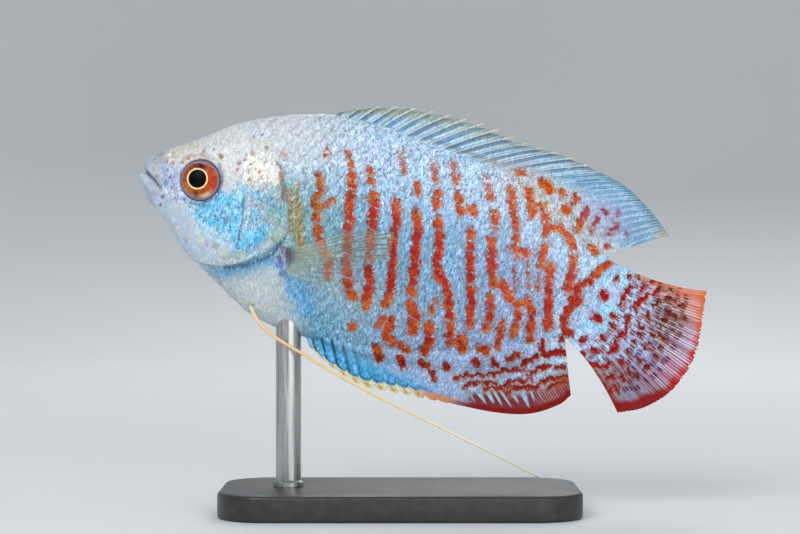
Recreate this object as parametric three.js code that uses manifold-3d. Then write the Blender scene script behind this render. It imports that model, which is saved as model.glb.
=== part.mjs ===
// A male dwarf gourami as a life-size display model, nose a little up, on a plain stand.
// Millimetres, Z up, origin at the middle of the stand's underside. The fish is drawn in a frame of
// its own: x runs from the snout along the body, z up to its back, and its left side is at negative y.
import * as THREE from "three";
import { mergeVertices } from "three/addons/utils/BufferGeometryUtils.js";
import Module from "manifold-3d";

const wasm = await Module();
wasm.setup();

// Driving dimensions
const GAP = 0.3; // between neighbouring pieces
const SNOUT = { x: -36.3, z: 46.8 };
const NOSE_UP = THREE.MathUtils.degToRad(15);

// The body from snout to tail root, as [x, value]: heights of its back and belly, half its width,
// and the height at which it is widest
const BODY_FROM = -0.25;
const BODY_TO = 66.6;
const BACK = [[-0.25, 0.75], [0.3, 1.3], [0.7, 2.5], [1.25, 3.2], [2.2, 4.5], [4, 5.65], [6.5, 7.35],
  [11.3, 10.9], [16.5, 13.4], [23.2, 15.4], [29.7, 15.9], [37.8, 15.5], [46.6, 14.9], [51, 14.4], [55, 13.1],
  [58.5, 11], [61.3, 8.8], [64.7, 6.9], [66.6, 6.2]];
const BELLY = [[-0.25, 0.15], [0.4, -1], [1.1, -2], [2.6, -3.25], [5.2, -5.2], [8.3, -8.1], [11, -9.75],
  [14.1, -11.5], [17.2, -13.3], [19.7, -14.5], [22.8, -15.2], [27.7, -15.6], [34.5, -15.7], [42.9, -14.7],
  [51, -12.4], [58.8, -9.2], [63.5, -6.3], [66.6, -5]];
const HALF_WIDTH = [[-0.25, 0.7], [0.6, 1.5], [2.5, 2.4], [5.5, 3.5], [8.5, 4.3], [13, 5.1], [20, 5.6],
  [28, 5.3], [38, 4.5], [48, 3.4], [56, 2.3], [62, 1.5], [66.6, 0.9]];
const WIDEST_AT = [[-0.25, 0.4], [1.5, 0.8], [6, 1.6], [20, 2.4], [40, 1.6], [66.6, 0.4]];
// How sharply the section closes over the back and under the belly: 1 is an ellipse, 2 a keel
const BACK_KEEL = [[-0.25, 1], [14, 1], [26, 1.25], [66.6, 1.3]];
const BELLY_KEEL = [[-0.25, 1], [14, 1], [30, 1.4], [66.6, 1.35]];
const TAIL_SWEEP = { from: 48, to: 81, aside: 2 }; // the tail turns a little to the fish's right
const BODY_RINGS = 46;
const BODY_SIDES = 32;
const RING_CROWDING = 1.35; // rings stand closer together towards the snout

// Where the body is parted, as lines of [x, z] seen from its left side, each from top to bottom
const GILL_EDGE = [[14.5, 22], [17.2, 10.5], [18.1, 7.7], [19.6, 4.3], [21.2, 0.7], [21.8, -1.4],
  [21.4, -3.2], [20.3, -4.9], [18.7, -6.4], [16.5, -8], [14.5, -8.9], [12.6, -9.2], [6, -9.4]];
const TAIL_STALK_FRONT = [[56.5, 22], [54.6, 8], [53.8, 0], [54.6, -8], [56.5, -22]];
const TAIL_ROOT = [[68.4, 22], [65.7, 6.3], [64.2, 3.2], [63.2, 0.4], [62.6, -1.6], [62.6, -3.8],
  [63.2, -6.1], [66, -22]];
const MOUTH = [[-3, 1.15], [0.4, 0.95], [1.3, 0.35], [2.2, -0.35], [3.2, -1.05], [4.2, -2.4], [4.5, -4],
  [4.2, -9]];

// Head
const EYE = { x: 7.8, z: 1.95, radius: 3.2, halfDepth: 1.8, sunk: 0.95 };
const EYE_RIM = { radius: 3.3, tube: 0.28 };
const LIP = { sweep: 1.6, inset: 0.75, spread: 1.8 }; // how a lip rounds the front of the mouth
const LIPS = {
  upper: { front: [1.05, 2], corner: [3.1, -0.35], frontRadius: 0.75, cornerRadius: 0.4 },
  lower: { front: [0.3, 0.35], corner: [3, -1.35], frontRadius: 0.6, cornerRadius: 0.38 },
};
const FRONT_NOSTRIL = { x: 2.9, z: 3.15, radius: 0.36 };
const REAR_NOSTRIL = { x: 4.7, z: 3.95, radius: 0.32 };
const GILL_COVER_FRONT = [[18.6, 8.1], [16.2, 7.1], [14.4, 5.2], [14.5, 2], [15, -0.8], [15.3, -3.5],
  [15.1, -6.4], [14.4, -8.4], [13.9, -11]];
const GILL_COVER = { proud: 0.38, flare: 6, depth: 0.7 };

// Fins. A ray's root lies inside the body by FIN_SUNK, and the edges are [x, z] from the first ray's tip
// to the last ray's.
const FIN_SUNK = 1.2;
const MEMBRANE = 0.5; // full thickness
const OUTER_SHARE = 0.6; // of that thickness, left at the fin's edge
const RIDGE = { height: 0.15, foot: 0.24 }; // foot: half its width, as a share of the way to the next ray
const FRONT_NOTCH = 0.35; // the notch between two rays is this shallow just in front of a ray
const SPINE_BOW = 0.25;
const DORSAL = { rays: 24, from: 23, to: 63.7, lean: 0.05, notch: 0.2, notchFade: 0.8 };
const DORSAL_EDGE = [[24.9, 16.3], [29.7, 18.3], [35.9, 19.6], [44.6, 19.8], [50.7, 18.8], [56, 18.7],
  [60.8, 17.6], [65.7, 16.4], [70, 14.1], [73.6, 11.3]];
const ANAL = { rays: 24, from: 27.4, to: 62.9, lean: 0.05, notch: 0.24 };
const ANAL_EDGE = [[29.2, -16.9], [33.2, -18.9], [37.8, -20.1], [42.8, -19.8], [49.9, -19.3],
  [56.4, -18.9], [61.1, -17.8], [64.6, -15.6], [66, -13.8]];
const CAUDAL = { rays: 15, notch: 0.02, topBow: -1.1, bottomBow: 1.2, rootFrom: 0.03, rootTo: 0.92 };
const CAUDAL_EDGE = [[80.7, 5.2], [81.4, -1.4], [81.1, -5.4], [79.4, -9.6], [76.4, -12.8], [73, -14.5]];
const PECTORAL = { rays: 10, notch: 0.03, splay: THREE.MathUtils.degToRad(17), topBow: 0.6, bottomBow: 0.5 };
const PECTORAL_ROOT = [[22, -4.1], [22.7, -7.7]];
const PECTORAL_EDGE = [[36.1, 2], [36.7, -0.9], [35.2, -3.2], [32.2, -6.1], [29.4, -8.3]];
const FIN_WAVE = { amplitude: 0.45, length: 17, rise: 4, tailRise: 14, tailPitch: 4 };

// Pelvic feelers, as [x, y, z] from the breast to the tip, with y outwards. The left one hangs free and
// the right one trails beside the anal fin.
const FEELER = { rootRadius: 0.36, tipRadius: 0.18 };
const LEFT_FEELER = [[18.7, 0.9, -12], [20.6, 2, -14.5], [23.1, 2.6, -16.1], [27.8, 3, -17.3],
  [37.2, 3.6, -19.85], [50.9, 4.6, -22.6], [64.2, 5.8, -25.6]];
const RIGHT_FEELER = [[18.7, 0.9, -12.2], [20.7, 2.3, -14.3], [24, 3.6, -15.2], [31, 4.6, -15.5],
  [40, 5.2, -16.2], [50, 5.4, -16.8], [60, 5.4, -16.2]];

// Stand
const BASE = { length: 50, width: 28, height: 3.6, corner: 7, bevel: 0.5 };
const ROD = { x: -15.6, radius: 0.95, top: 30, footRadius: 2.1, footHeight: 0.9 };

const bodySkin = new THREE.MeshStandardMaterial({ color: 0xa4bfd8, roughness: 0.35, metalness: 0.1 });
const headSkin = new THREE.MeshStandardMaterial({ color: 0xbfd0d8, roughness: 0.35, metalness: 0.1 });
const gillSkin = new THREE.MeshStandardMaterial({ color: 0x5fb6dc, roughness: 0.3, metalness: 0.15 });
const blueFin = new THREE.MeshStandardMaterial({ color: 0x6aa6cf, roughness: 0.4, metalness: 0.05 });
const redFin = new THREE.MeshStandardMaterial({ color: 0xb8627a, roughness: 0.4, metalness: 0.05 });
const clearFin = new THREE.MeshStandardMaterial({ color: 0xcfd8c4, roughness: 0.3, metalness: 0 });
const eyeRed = new THREE.MeshStandardMaterial({ color: 0xb8431c, roughness: 0.08, metalness: 0 });
const feelerSkin = new THREE.MeshStandardMaterial({ color: 0xf0e0a8, roughness: 0.4, metalness: 0 });
const darkBase = new THREE.MeshStandardMaterial({ color: 0x2b2522, roughness: 0.45, metalness: 0 });
const steel = new THREE.MeshStandardMaterial({ color: 0xb4b4b0, roughness: 0.3, metalness: 1 });

// A smooth value over x, through points [x, value] in rising order of x.
function smoothOver(points) {
  const last = points.length - 1;
  const slope = (i) => {
    const before = points[Math.max(i - 1, 0)];
    const after = points[Math.min(i + 1, last)];
    return (after[1] - before[1]) / (after[0] - before[0]);
  };
  return (x) => {
    const next = points.findIndex((point) => point[0] > x);
    const i = next < 0 ? last - 1 : Math.max(next - 1, 0);
    const [x0, y0] = points[i];
    const [x1, y1] = points[i + 1];
    const run = x1 - x0;
    const t = THREE.MathUtils.clamp((x - x0) / run, 0, 1);
    const [square, cube] = [t * t, t * t * t];
    return (2 * cube - 3 * square + 1) * y0 + (cube - 2 * square + t) * run * slope(i)
      + (3 * square - 2 * cube) * y1 + (cube - square) * run * slope(i + 1);
  };
}

const backAt = smoothOver(BACK);
const bellyAt = smoothOver(BELLY);
const halfWidthAt = smoothOver(HALF_WIDTH);
const widestAt = smoothOver(WIDEST_AT);
const backKeelAt = smoothOver(BACK_KEEL);
const bellyKeelAt = smoothOver(BELLY_KEEL);

// How far the middle plane lies aside at x.
function sweepAt(x) {
  const t = Math.max(0, (x - TAIL_SWEEP.from) / (TAIL_SWEEP.to - TAIL_SWEEP.from));
  return TAIL_SWEEP.aside * t * t;
}

// Half the body's width at a place seen from the side.
function flankAt(x, z) {
  const level = widestAt(x);
  const over = z > level;
  const share = over ? (z - level) / (backAt(x) - level) : (level - z) / (level - bellyAt(x));
  const cosine = Math.sqrt(Math.max(0, 1 - share * share));
  return halfWidthAt(x) * cosine ** (over ? backKeelAt(x) : bellyKeelAt(x));
}

// The direction straight out of the flank, for the side at positive y.
function flankNormal(x, z) {
  const step = 0.2;
  const alongX = (flankAt(x + step, z) - flankAt(x - step, z)) / (2 * step);
  const alongZ = (flankAt(x, z + step) - flankAt(x, z - step)) / (2 * step);
  return new THREE.Vector3(-alongX, 1, -alongZ).normalize();
}

function distanceTo(line, x, z) {
  const point = new THREE.Vector3(x, 0, z);
  const nearest = new THREE.Vector3();
  const spans = line.slice(1).map(([x1, z1], i) => {
    const span = new THREE.Line3(new THREE.Vector3(line[i][0], 0, line[i][1]), new THREE.Vector3(x1, 0, z1));
    return span.closestPointToPoint(point, true, nearest).distanceTo(point);
  });
  return Math.min(...spans);
}

// Solids are made from closed geometries and go back to geometries once they are cut and joined.
function solidOf(geometry) {
  const bare = geometry.clone();
  bare.deleteAttribute("normal");
  bare.deleteAttribute("uv");
  const merged = mergeVertices(bare, 1e-4);
  return new wasm.Manifold(new wasm.Mesh({
    numProp: 3,
    vertProperties: merged.attributes.position.array,
    triVerts: new Uint32Array(merged.index.array),
  }));
}

// The largest closed surface of a solid.
function geometryOf(solid) {
  const largest = solid.decompose().sort((a, b) => b.volume() - a.volume())[0];
  const { vertProperties, triVerts } = largest.getMesh();
  const geometry = new THREE.BufferGeometry();
  geometry.setAttribute("position", new THREE.BufferAttribute(new Float32Array(vertProperties), 3));
  geometry.setIndex(new THREE.BufferAttribute(new Uint32Array(triVerts), 1));
  return geometry;
}

// The whole body with no cuts, grown outwards by extraAt(x, z).
function bodyShape(extraAt) {
  const shape = new THREE.SphereGeometry(1, BODY_SIDES, BODY_RINGS);
  const { position } = shape.attributes;
  const onSphere = new THREE.Vector3();
  for (let i = 0; i < position.count; i++) {
    onSphere.fromBufferAttribute(position, i);
    const along = Math.acos(THREE.MathUtils.clamp(onSphere.y, -1, 1)) / Math.PI;
    const x = BODY_FROM + (BODY_TO - BODY_FROM) * along ** RING_CROWDING;
    const level = widestAt(x);
    const radius = Math.hypot(onSphere.x, onSphere.z);
    if (radius < 1e-6) {
      const end = extraAt(x, level) * (along > 0.5 ? 1 : -1);
      position.setXYZ(i, x + end, sweepAt(x), level);
      continue;
    }
    const [across, up] = [onSphere.x / radius, onSphere.z / radius];
    const reach = up > 0 ? backAt(x) - level : level - bellyAt(x);
    const extra = extraAt(x, level + up * reach);
    const keel = up > 0 ? backKeelAt(x) : bellyKeelAt(x);
    const halfWidth = Math.max(0.05, halfWidthAt(x) + extra);
    const y = Math.sign(across) * Math.abs(across) ** keel * halfWidth;
    position.setXYZ(i, x, sweepAt(x) + y, level + up * Math.max(0.05, reach + extra));
  }
  return shape;
}

const bodySolid = (extra) => solidOf(bodyShape(() => extra));

// A line of [x, z] moved to its left by a distance: a line that runs down moves tailwards.
function shifted(line, distance) {
  return line.map(([x, z], i) => {
    const [x0, z0] = line[Math.max(i - 1, 0)];
    const [x1, z1] = line[Math.min(i + 1, line.length - 1)];
    const length = Math.hypot(x1 - x0, z1 - z0);
    return [x - (z1 - z0) / length * distance, z + (x1 - x0) / length * distance];
  });
}

// A block across the fish whose side view is the outline.
function slab(outline, fromY = -20, toY = 20) {
  const shape = new THREE.Shape(outline.map(([x, z]) => new THREE.Vector2(x, z)));
  const block = new THREE.ExtrudeGeometry(shape, { depth: toY - fromY, bevelEnabled: false });
  return solidOf(block.rotateX(Math.PI / 2).translate(0, toY, 0));
}

// All that lies tailwards of a line that runs down, and all that lies under the line of the mouth.
const behind = (line, shift) => slab([...shifted(line, shift), [line.at(-1)[0], -23], [100, -23], [100, 22]]);
const underMouth = (shift) => slab([...shifted(MOUTH, -shift), [-6, -9]]);

// A round tube along a curve, closed at both ends, with a radius that changes along it.
function tube(curve, steps, sides, radiusAt) {
  const shape = new THREE.CylinderGeometry(1, 1, 1, sides, steps);
  const frames = curve.computeFrenetFrames(steps, false);
  const { position } = shape.attributes;
  for (let i = 0; i < position.count; i++) {
    const step = Math.round((0.5 - position.getY(i)) * steps);
    const radius = radiusAt(step / steps);
    const point = curve.getPointAt(step / steps)
      .addScaledVector(frames.normals[step], position.getX(i) * radius)
      .addScaledVector(frames.binormals[step], position.getZ(i) * radius);
    position.setXYZ(i, point.x, point.y, point.z);
  }
  return shape;
}

// A fin with a ridge along each ray, its two faces split into triangles alike. rootAt, tipAt and bowAt
// take a place among the rays from 0 to 1, and middleAt gives the y of the middle surface at x, z and
// that place.
function finSolid({ rays, rows, rootAt, tipAt, bowAt, notchAt, middleAt }) {
  const columns = [];
  for (let ray = 0; ray < rays; ray++) {
    if (ray > 0) columns.push({ at: ray - RIDGE.foot, crest: 0, cut: FRONT_NOTCH });
    columns.push({ at: ray, crest: 1, cut: 0 });
    if (ray < rays - 1) columns.push({ at: ray + RIDGE.foot, crest: 0, cut: 1 });
  }
  const wide = columns.length;
  const points = [];
  for (const side of [-1, 1]) {
    for (let row = 0; row <= rows; row++) {
      for (const { at, crest, cut } of columns) {
        const u = at / (rays - 1);
        const [x0, z0] = rootAt(u);
        const [x1, z1] = tipAt(u);
        const t = row / rows * (1 - notchAt(u) * cut);
        const x = x0 + (x1 - x0) * t;
        const z = z0 + (z1 - z0) * t + 4 * bowAt(u) * t * (1 - t);
        const share = row === rows ? OUTER_SHARE : 1;
        points.push(x, middleAt(x, z, u) + side * share * (MEMBRANE / 2 + RIDGE.height * crest), z);
      }
    }
  }
  const other = wide * (rows + 1);
  const triangles = [];
  const quad = (a, b, c, d) => triangles.push(a, b, c, a, c, d);
  for (let row = 0; row < rows; row++) {
    for (let column = 0; column < wide - 1; column++) {
      const corner = row * wide + column;
      quad(corner, corner + 1, corner + 1 + wide, corner + wide);
      triangles.push(corner + other, corner + 1 + wide + other, corner + 1 + other);
      triangles.push(corner + other, corner + wide + other, corner + 1 + wide + other);
    }
    const [first, last] = [row * wide, row * wide + wide - 1];
    quad(first, first + wide, first + wide + other, first + other);
    quad(last, last + other, last + wide + other, last + wide);
  }
  for (let column = 0; column < wide - 1; column++) {
    const top = rows * wide + column;
    quad(column, column + other, column + 1 + other, column + 1);
    quad(top, top + 1, top + 1 + other, top + other);
  }
  const shape = new THREE.BufferGeometry();
  shape.setAttribute("position", new THREE.BufferAttribute(new Float32Array(points), 3));
  shape.setIndex(triangles);
  return solidOf(shape);
}

const between = (a, b, t) => [a[0] + (b[0] - a[0]) * t, a[1] + (b[1] - a[1]) * t];

// The point at a share of the length of a smooth edge.
function edgeAt(edge) {
  const curve = new THREE.SplineCurve(edge.map(([x, z]) => new THREE.Vector2(x, z)));
  return (u) => curve.getPointAt(THREE.MathUtils.clamp(u, 0, 1)).toArray();
}

// The middle surface of the unpaired fins: the swept middle plane, with a slow wave away from the body.
function waving(bodyEdgeAt) {
  return (x, z) => {
    const away = THREE.MathUtils.clamp((Math.abs(z) - Math.abs(bodyEdgeAt(x))) / FIN_WAVE.rise, 0, 1);
    return sweepAt(x) + FIN_WAVE.amplitude * away * Math.sin(2 * Math.PI * x / FIN_WAVE.length);
  };
}

function dorsalFin() {
  const edge = edgeAt(DORSAL_EDGE);
  const rootX = (u) => DORSAL.from + (DORSAL.to - DORSAL.from) * u;
  return finSolid({
    rays: DORSAL.rays,
    rows: 4,
    rootAt: (u) => [rootX(u), backAt(rootX(u)) - FIN_SUNK],
    tipAt: (u) => edge(u + 4 * DORSAL.lean * u * (1 - u)),
    bowAt: () => SPINE_BOW,
    notchAt: (u) => DORSAL.notch * (1 - DORSAL.notchFade * u),
    middleAt: waving(backAt),
  });
}

function analFin() {
  const edge = edgeAt(ANAL_EDGE);
  const rootX = (u) => ANAL.from + (ANAL.to - ANAL.from) * u;
  return finSolid({
    rays: ANAL.rays,
    rows: 4,
    rootAt: (u) => [rootX(1 - u), bellyAt(rootX(1 - u)) + FIN_SUNK],
    tipAt: (u) => edge(1 - u + 4 * ANAL.lean * u * (1 - u)),
    bowAt: () => -SPINE_BOW,
    notchAt: (u) => ANAL.notch * u,
    middleAt: waving(bellyAt),
  });
}

function caudalFin() {
  const edge = edgeAt(CAUDAL_EDGE);
  const root = edgeAt(shifted(TAIL_ROOT.slice(1, -1), -FIN_SUNK));
  return finSolid({
    rays: CAUDAL.rays,
    rows: 6,
    rootAt: (u) => root(CAUDAL.rootFrom + (CAUDAL.rootTo - CAUDAL.rootFrom) * u),
    tipAt: edge,
    bowAt: (u) => CAUDAL.topBow + (CAUDAL.bottomBow - CAUDAL.topBow) * u,
    notchAt: () => CAUDAL.notch,
    middleAt: (x, z) => {
      const { amplitude, tailRise, tailPitch } = FIN_WAVE;
      return sweepAt(x) + amplitude * (x - BODY_TO) / tailRise * Math.sin(z / tailPitch);
    },
  }).subtract(slab([...shifted(TAIL_ROOT, GAP / 2), [40, -22], [40, 22]]));
}

// The fan starts inside the flank and stands away from it by its splay.
function pectoralFin(side) {
  const edge = edgeAt(PECTORAL_EDGE);
  const sunk = FIN_SUNK / Math.sin(PECTORAL.splay) / 2;
  const fan = finSolid({
    rays: PECTORAL.rays,
    rows: 5,
    rootAt: (u) => {
      const root = between(...PECTORAL_ROOT, u);
      const tip = edge(u);
      return between(root, tip, -sunk / Math.hypot(tip[0] - root[0], tip[1] - root[1]));
    },
    tipAt: edge,
    bowAt: (u) => PECTORAL.topBow + (PECTORAL.bottomBow - PECTORAL.topBow) * u,
    notchAt: () => PECTORAL.notch,
    middleAt: (x, z, u) => {
      const [rootX, rootZ] = between(...PECTORAL_ROOT, u);
      return -flankAt(rootX, rootZ) - (x - rootX) * Math.tan(PECTORAL.splay);
    },
  });
  return side < 0 ? fan : fan.mirror([0, 1, 0]);
}

function pelvicFeeler(points, side) {
  const curve = new THREE.CatmullRomCurve3(points.map(([x, y, z]) => new THREE.Vector3(x, side * y, z)));
  const { rootRadius, tipRadius } = FEELER;
  return solidOf(tube(curve, 26, 6, (t) => rootRadius + (tipRadius - rootRadius) * t));
}

// One lip, from one corner of the mouth round the front to the other.
function lip({ front, corner, frontRadius, cornerRadius }) {
  const points = [];
  for (let t = -1; t <= 1; t += 0.25) {
    const [x, z] = between(front, corner, Math.abs(t) ** LIP.sweep);
    const halfWidth = Math.max(0, flankAt(x, z) - LIP.inset * frontRadius);
    const y = halfWidth * Math.sign(t) * Math.min(1, Math.abs(t) * LIP.spread);
    points.push(new THREE.Vector3(x, y, z));
  }
  const curve = new THREE.CatmullRomCurve3(points);
  return solidOf(tube(curve, 14, 8, (t) => {
    const aside = Math.abs(2 * t - 1);
    return frontRadius + (cornerRadius - frontRadius) * aside;
  }));
}

// A ball or ring set on the flank and turned to face straight out of it.
function onFlank(geometry, { x, z, sunk = 0 }, side) {
  const normal = flankNormal(x, z).multiply(new THREE.Vector3(1, side, 1));
  const turn = new THREE.Quaternion().setFromUnitVectors(new THREE.Vector3(0, 1, 0), normal);
  const place = new THREE.Vector3(x, side * flankAt(x, z), z).addScaledVector(normal, -sunk);
  return geometry.applyQuaternion(turn).translate(place.x, place.y, place.z);
}

function eyeball(grow, side) {
  const ball = new THREE.SphereGeometry(1, 24, 10);
  ball.scale(EYE.radius + grow, EYE.halfDepth + grow, EYE.radius + grow);
  return solidOf(onFlank(ball, EYE, side));
}

function eyeRim(side) {
  const ring = new THREE.TorusGeometry(EYE_RIM.radius, EYE_RIM.tube, 6, 24).rotateX(Math.PI / 2);
  return solidOf(onFlank(ring, { x: EYE.x, z: EYE.z }, side));
}

function bead({ x, z, radius }, side) {
  return solidOf(onFlank(new THREE.SphereGeometry(radius, 10, 8), { x, z }, side));
}

// The head before it is parted: its rear edge stands out over the body as the gill covers do.
function flaredBody() {
  const { proud, flare } = GILL_COVER;
  const extraAt = (x, z) => {
    const t = 1 - THREE.MathUtils.clamp(distanceTo(GILL_EDGE.slice(2, -1), x, z) / flare, 0, 1);
    return x < 5 ? 0 : proud * t * t * (3 - 2 * t);
  };
  return solidOf(bodyShape(extraAt));
}

// The block that holds one gill cover, with the gap round it added for the head's recess.
function gillCoverBlock(gap, side) {
  const outline = [...shifted(GILL_COVER_FRONT, -gap), [30, -11], [30, 8.1 + gap]];
  const block = side < 0 ? slab(outline, -20, 0) : slab(outline, 0, 20);
  return block.subtract(bodySolid(-GILL_COVER.depth - gap));
}

function headParts() {
  const flared = flaredBody().subtract(behind(GILL_EDGE, -GAP / 2));
  const parts = { lower_jaw: flared.add(lip(LIPS.lower)).intersect(underMouth(GAP / 2)) };
  let head = flared.add(lip(LIPS.upper)).subtract(underMouth(-GAP / 2));
  for (const [name, side] of [["left", -1], ["right", 1]]) {
    parts[`gill_cover_${name}`] = flared.intersect(gillCoverBlock(0, side));
    parts[`eye_${name}`] = eyeball(0, side);
    head = head.subtract(gillCoverBlock(GAP, side)).add(eyeRim(side)).subtract(eyeball(GAP, side));
    head = head.add(bead(FRONT_NOSTRIL, side)).subtract(bead(REAR_NOSTRIL, side));
  }
  parts.head = head;
  return parts;
}

function bodyParts() {
  const body = bodySolid(0);
  const torso = body.intersect(behind(GILL_EDGE, GAP / 2)).subtract(behind(TAIL_STALK_FRONT, -GAP / 2));
  const stalk = body.intersect(behind(TAIL_STALK_FRONT, GAP / 2)).subtract(behind(TAIL_ROOT, -GAP / 2));
  return { torso, tail_stalk: stalk };
}

function standBase() {
  const { length, width, height, corner, bevel } = BASE;
  const [x, y] = [length / 2 - bevel, width / 2 - bevel];
  const r = corner - bevel;
  const outline = new THREE.Shape();
  outline.absarc(x - r, y - r, r, 0, Math.PI / 2);
  outline.absarc(-x + r, y - r, r, Math.PI / 2, Math.PI);
  outline.absarc(-x + r, -y + r, r, Math.PI, Math.PI * 1.5);
  outline.absarc(x - r, -y + r, r, Math.PI * 1.5, Math.PI * 2);
  const plate = new THREE.ExtrudeGeometry(outline, {
    depth: height - 2 * bevel, bevelSize: bevel, bevelThickness: bevel, bevelSegments: 2, curveSegments: 6,
  });
  return plate.translate(0, 0, bevel);
}

// The rod stands on the base and ends just under the belly.
function standRod(pose) {
  const { x, radius, top, footRadius, footHeight } = ROD;
  const foot = BASE.height + GAP;
  const profile = [[0, foot], [footRadius, foot], [footRadius, foot + footHeight * 0.6],
    [footRadius - 0.35, foot + footHeight], [radius, foot + footHeight], [radius, top], [0, top]];
  const rod = new THREE.LatheGeometry(profile.map(([r, z]) => new THREE.Vector2(r, z)), 24);
  rod.rotateX(Math.PI / 2).translate(x, 0, 0);
  return solidOf(rod).subtract(solidOf(bodyShape(() => GAP).applyMatrix4(pose)));
}

const fish = new THREE.Group();
fish.position.set(SNOUT.x, 0, SNOUT.z);
fish.rotation.y = NOSE_UP;
fish.updateMatrix();

const stand = new THREE.Group();
const model = new THREE.Group();
model.add(fish, stand);

function addMesh(group, name, geometry, material) {
  const mesh = new THREE.Mesh(geometry, material);
  mesh.name = name;
  group.add(mesh);
}

const { head, lower_jaw, gill_cover_left, gill_cover_right, eye_left, eye_right } = headParts();
addMesh(fish, "head", geometryOf(head), headSkin);
addMesh(fish, "lower_jaw", geometryOf(lower_jaw), headSkin);
addMesh(fish, "gill_cover_left", geometryOf(gill_cover_left), gillSkin);
addMesh(fish, "gill_cover_right", geometryOf(gill_cover_right), gillSkin);
addMesh(fish, "eye_left", geometryOf(eye_left), eyeRed);
addMesh(fish, "eye_right", geometryOf(eye_right), eyeRed);

const { torso, tail_stalk } = bodyParts();
addMesh(fish, "torso", geometryOf(torso), bodySkin);
addMesh(fish, "tail_stalk", geometryOf(tail_stalk), bodySkin);

const grownBody = bodySolid(GAP);
addMesh(fish, "dorsal_fin", geometryOf(dorsalFin().subtract(grownBody)), blueFin);
addMesh(fish, "anal_fin", geometryOf(analFin().subtract(grownBody)), redFin);
addMesh(fish, "caudal_fin", geometryOf(caudalFin()), redFin);
addMesh(fish, "pectoral_fin_left", geometryOf(pectoralFin(-1).subtract(grownBody)), clearFin);
addMesh(fish, "pectoral_fin_right", geometryOf(pectoralFin(1).subtract(grownBody)), clearFin);
const leftFeeler = pelvicFeeler(LEFT_FEELER, -1).subtract(grownBody);
const rightFeeler = pelvicFeeler(RIGHT_FEELER, 1).subtract(grownBody);
addMesh(fish, "pelvic_feeler_left", geometryOf(leftFeeler), feelerSkin);
addMesh(fish, "pelvic_feeler_right", geometryOf(rightFeeler), feelerSkin);

addMesh(stand, "stand_base", standBase(), darkBase);
addMesh(stand, "stand_rod", geometryOf(standRod(fish.matrix)), steel);

export default model;
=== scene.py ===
# The looks of a male dwarf gourami, a life-size display model that swims nose up over a plain stand.
# Sizes are millimetres in the fish's own frame: x runs from the snout along the body, z up to its
# back, and its left side is at negative y. Markings are placed by pixels of the 800 x 534 photograph.
import math

import bpy
import numpy as np
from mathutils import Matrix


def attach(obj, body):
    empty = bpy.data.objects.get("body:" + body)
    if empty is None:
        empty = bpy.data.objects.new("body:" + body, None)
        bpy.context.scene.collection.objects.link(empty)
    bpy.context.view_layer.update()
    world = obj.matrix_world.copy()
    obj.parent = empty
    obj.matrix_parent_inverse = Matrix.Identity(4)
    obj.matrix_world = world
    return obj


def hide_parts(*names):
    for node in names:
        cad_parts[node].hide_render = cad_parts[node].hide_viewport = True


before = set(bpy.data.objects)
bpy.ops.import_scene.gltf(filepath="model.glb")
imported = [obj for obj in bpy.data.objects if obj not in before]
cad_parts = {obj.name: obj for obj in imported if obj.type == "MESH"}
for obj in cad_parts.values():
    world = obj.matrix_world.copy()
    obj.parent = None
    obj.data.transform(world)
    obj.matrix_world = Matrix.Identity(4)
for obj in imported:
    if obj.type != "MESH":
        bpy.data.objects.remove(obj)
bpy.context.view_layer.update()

bpy.ops.object.select_all(action="DESELECT")
rng = np.random.default_rng(7)

MM = 0.001
NOSE_UP = math.radians(15)
SNOUT = (-36.3, 46.8)
SNOUT_PIXEL = (141, 178)
MM_PER_PIXEL = 0.14
CAMERA = {"back": 311, "height": 34.3, "lens": 100}

# The body's outline, half width, level of its widest place and sharpness of its keels, as [x, value]
BODY_FROM = -0.25
BODY_TO = 66.6
BACK = [[-0.25, 0.75], [0.3, 1.3], [0.7, 2.5], [1.25, 3.2], [2.2, 4.5], [4, 5.65], [6.5, 7.35],
        [11.3, 10.9], [16.5, 13.4], [23.2, 15.4], [29.7, 15.9], [37.8, 15.5], [46.6, 14.9], [51, 14.4],
        [55, 13.1], [58.5, 11], [61.3, 8.8], [64.7, 6.9], [66.6, 6.2]]
BELLY = [[-0.25, 0.15], [0.4, -1], [1.1, -2], [2.6, -3.25], [5.2, -5.2], [8.3, -8.1], [11, -9.75],
         [14.1, -11.5], [17.2, -13.3], [19.7, -14.5], [22.8, -15.2], [27.7, -15.6], [34.5, -15.7],
         [42.9, -14.7], [51, -12.4], [58.8, -9.2], [63.5, -6.3], [66.6, -5]]
HALF_WIDTH = [[-0.25, 0.7], [0.6, 1.5], [2.5, 2.4], [5.5, 3.5], [8.5, 4.3], [13, 5.1], [20, 5.6],
              [28, 5.3], [38, 4.5], [48, 3.4], [56, 2.3], [62, 1.5], [66.6, 0.9]]
WIDEST_AT = [[-0.25, 0.4], [1.5, 0.8], [6, 1.6], [20, 2.4], [40, 1.6], [66.6, 0.4]]
BACK_KEEL = [[-0.25, 1], [14, 1], [26, 1.25], [66.6, 1.3]]
BELLY_KEEL = [[-0.25, 1], [14, 1], [30, 1.4], [66.6, 1.35]]
TAIL_SWEEP = {"from": 48, "to": 81, "aside": 2}

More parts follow.
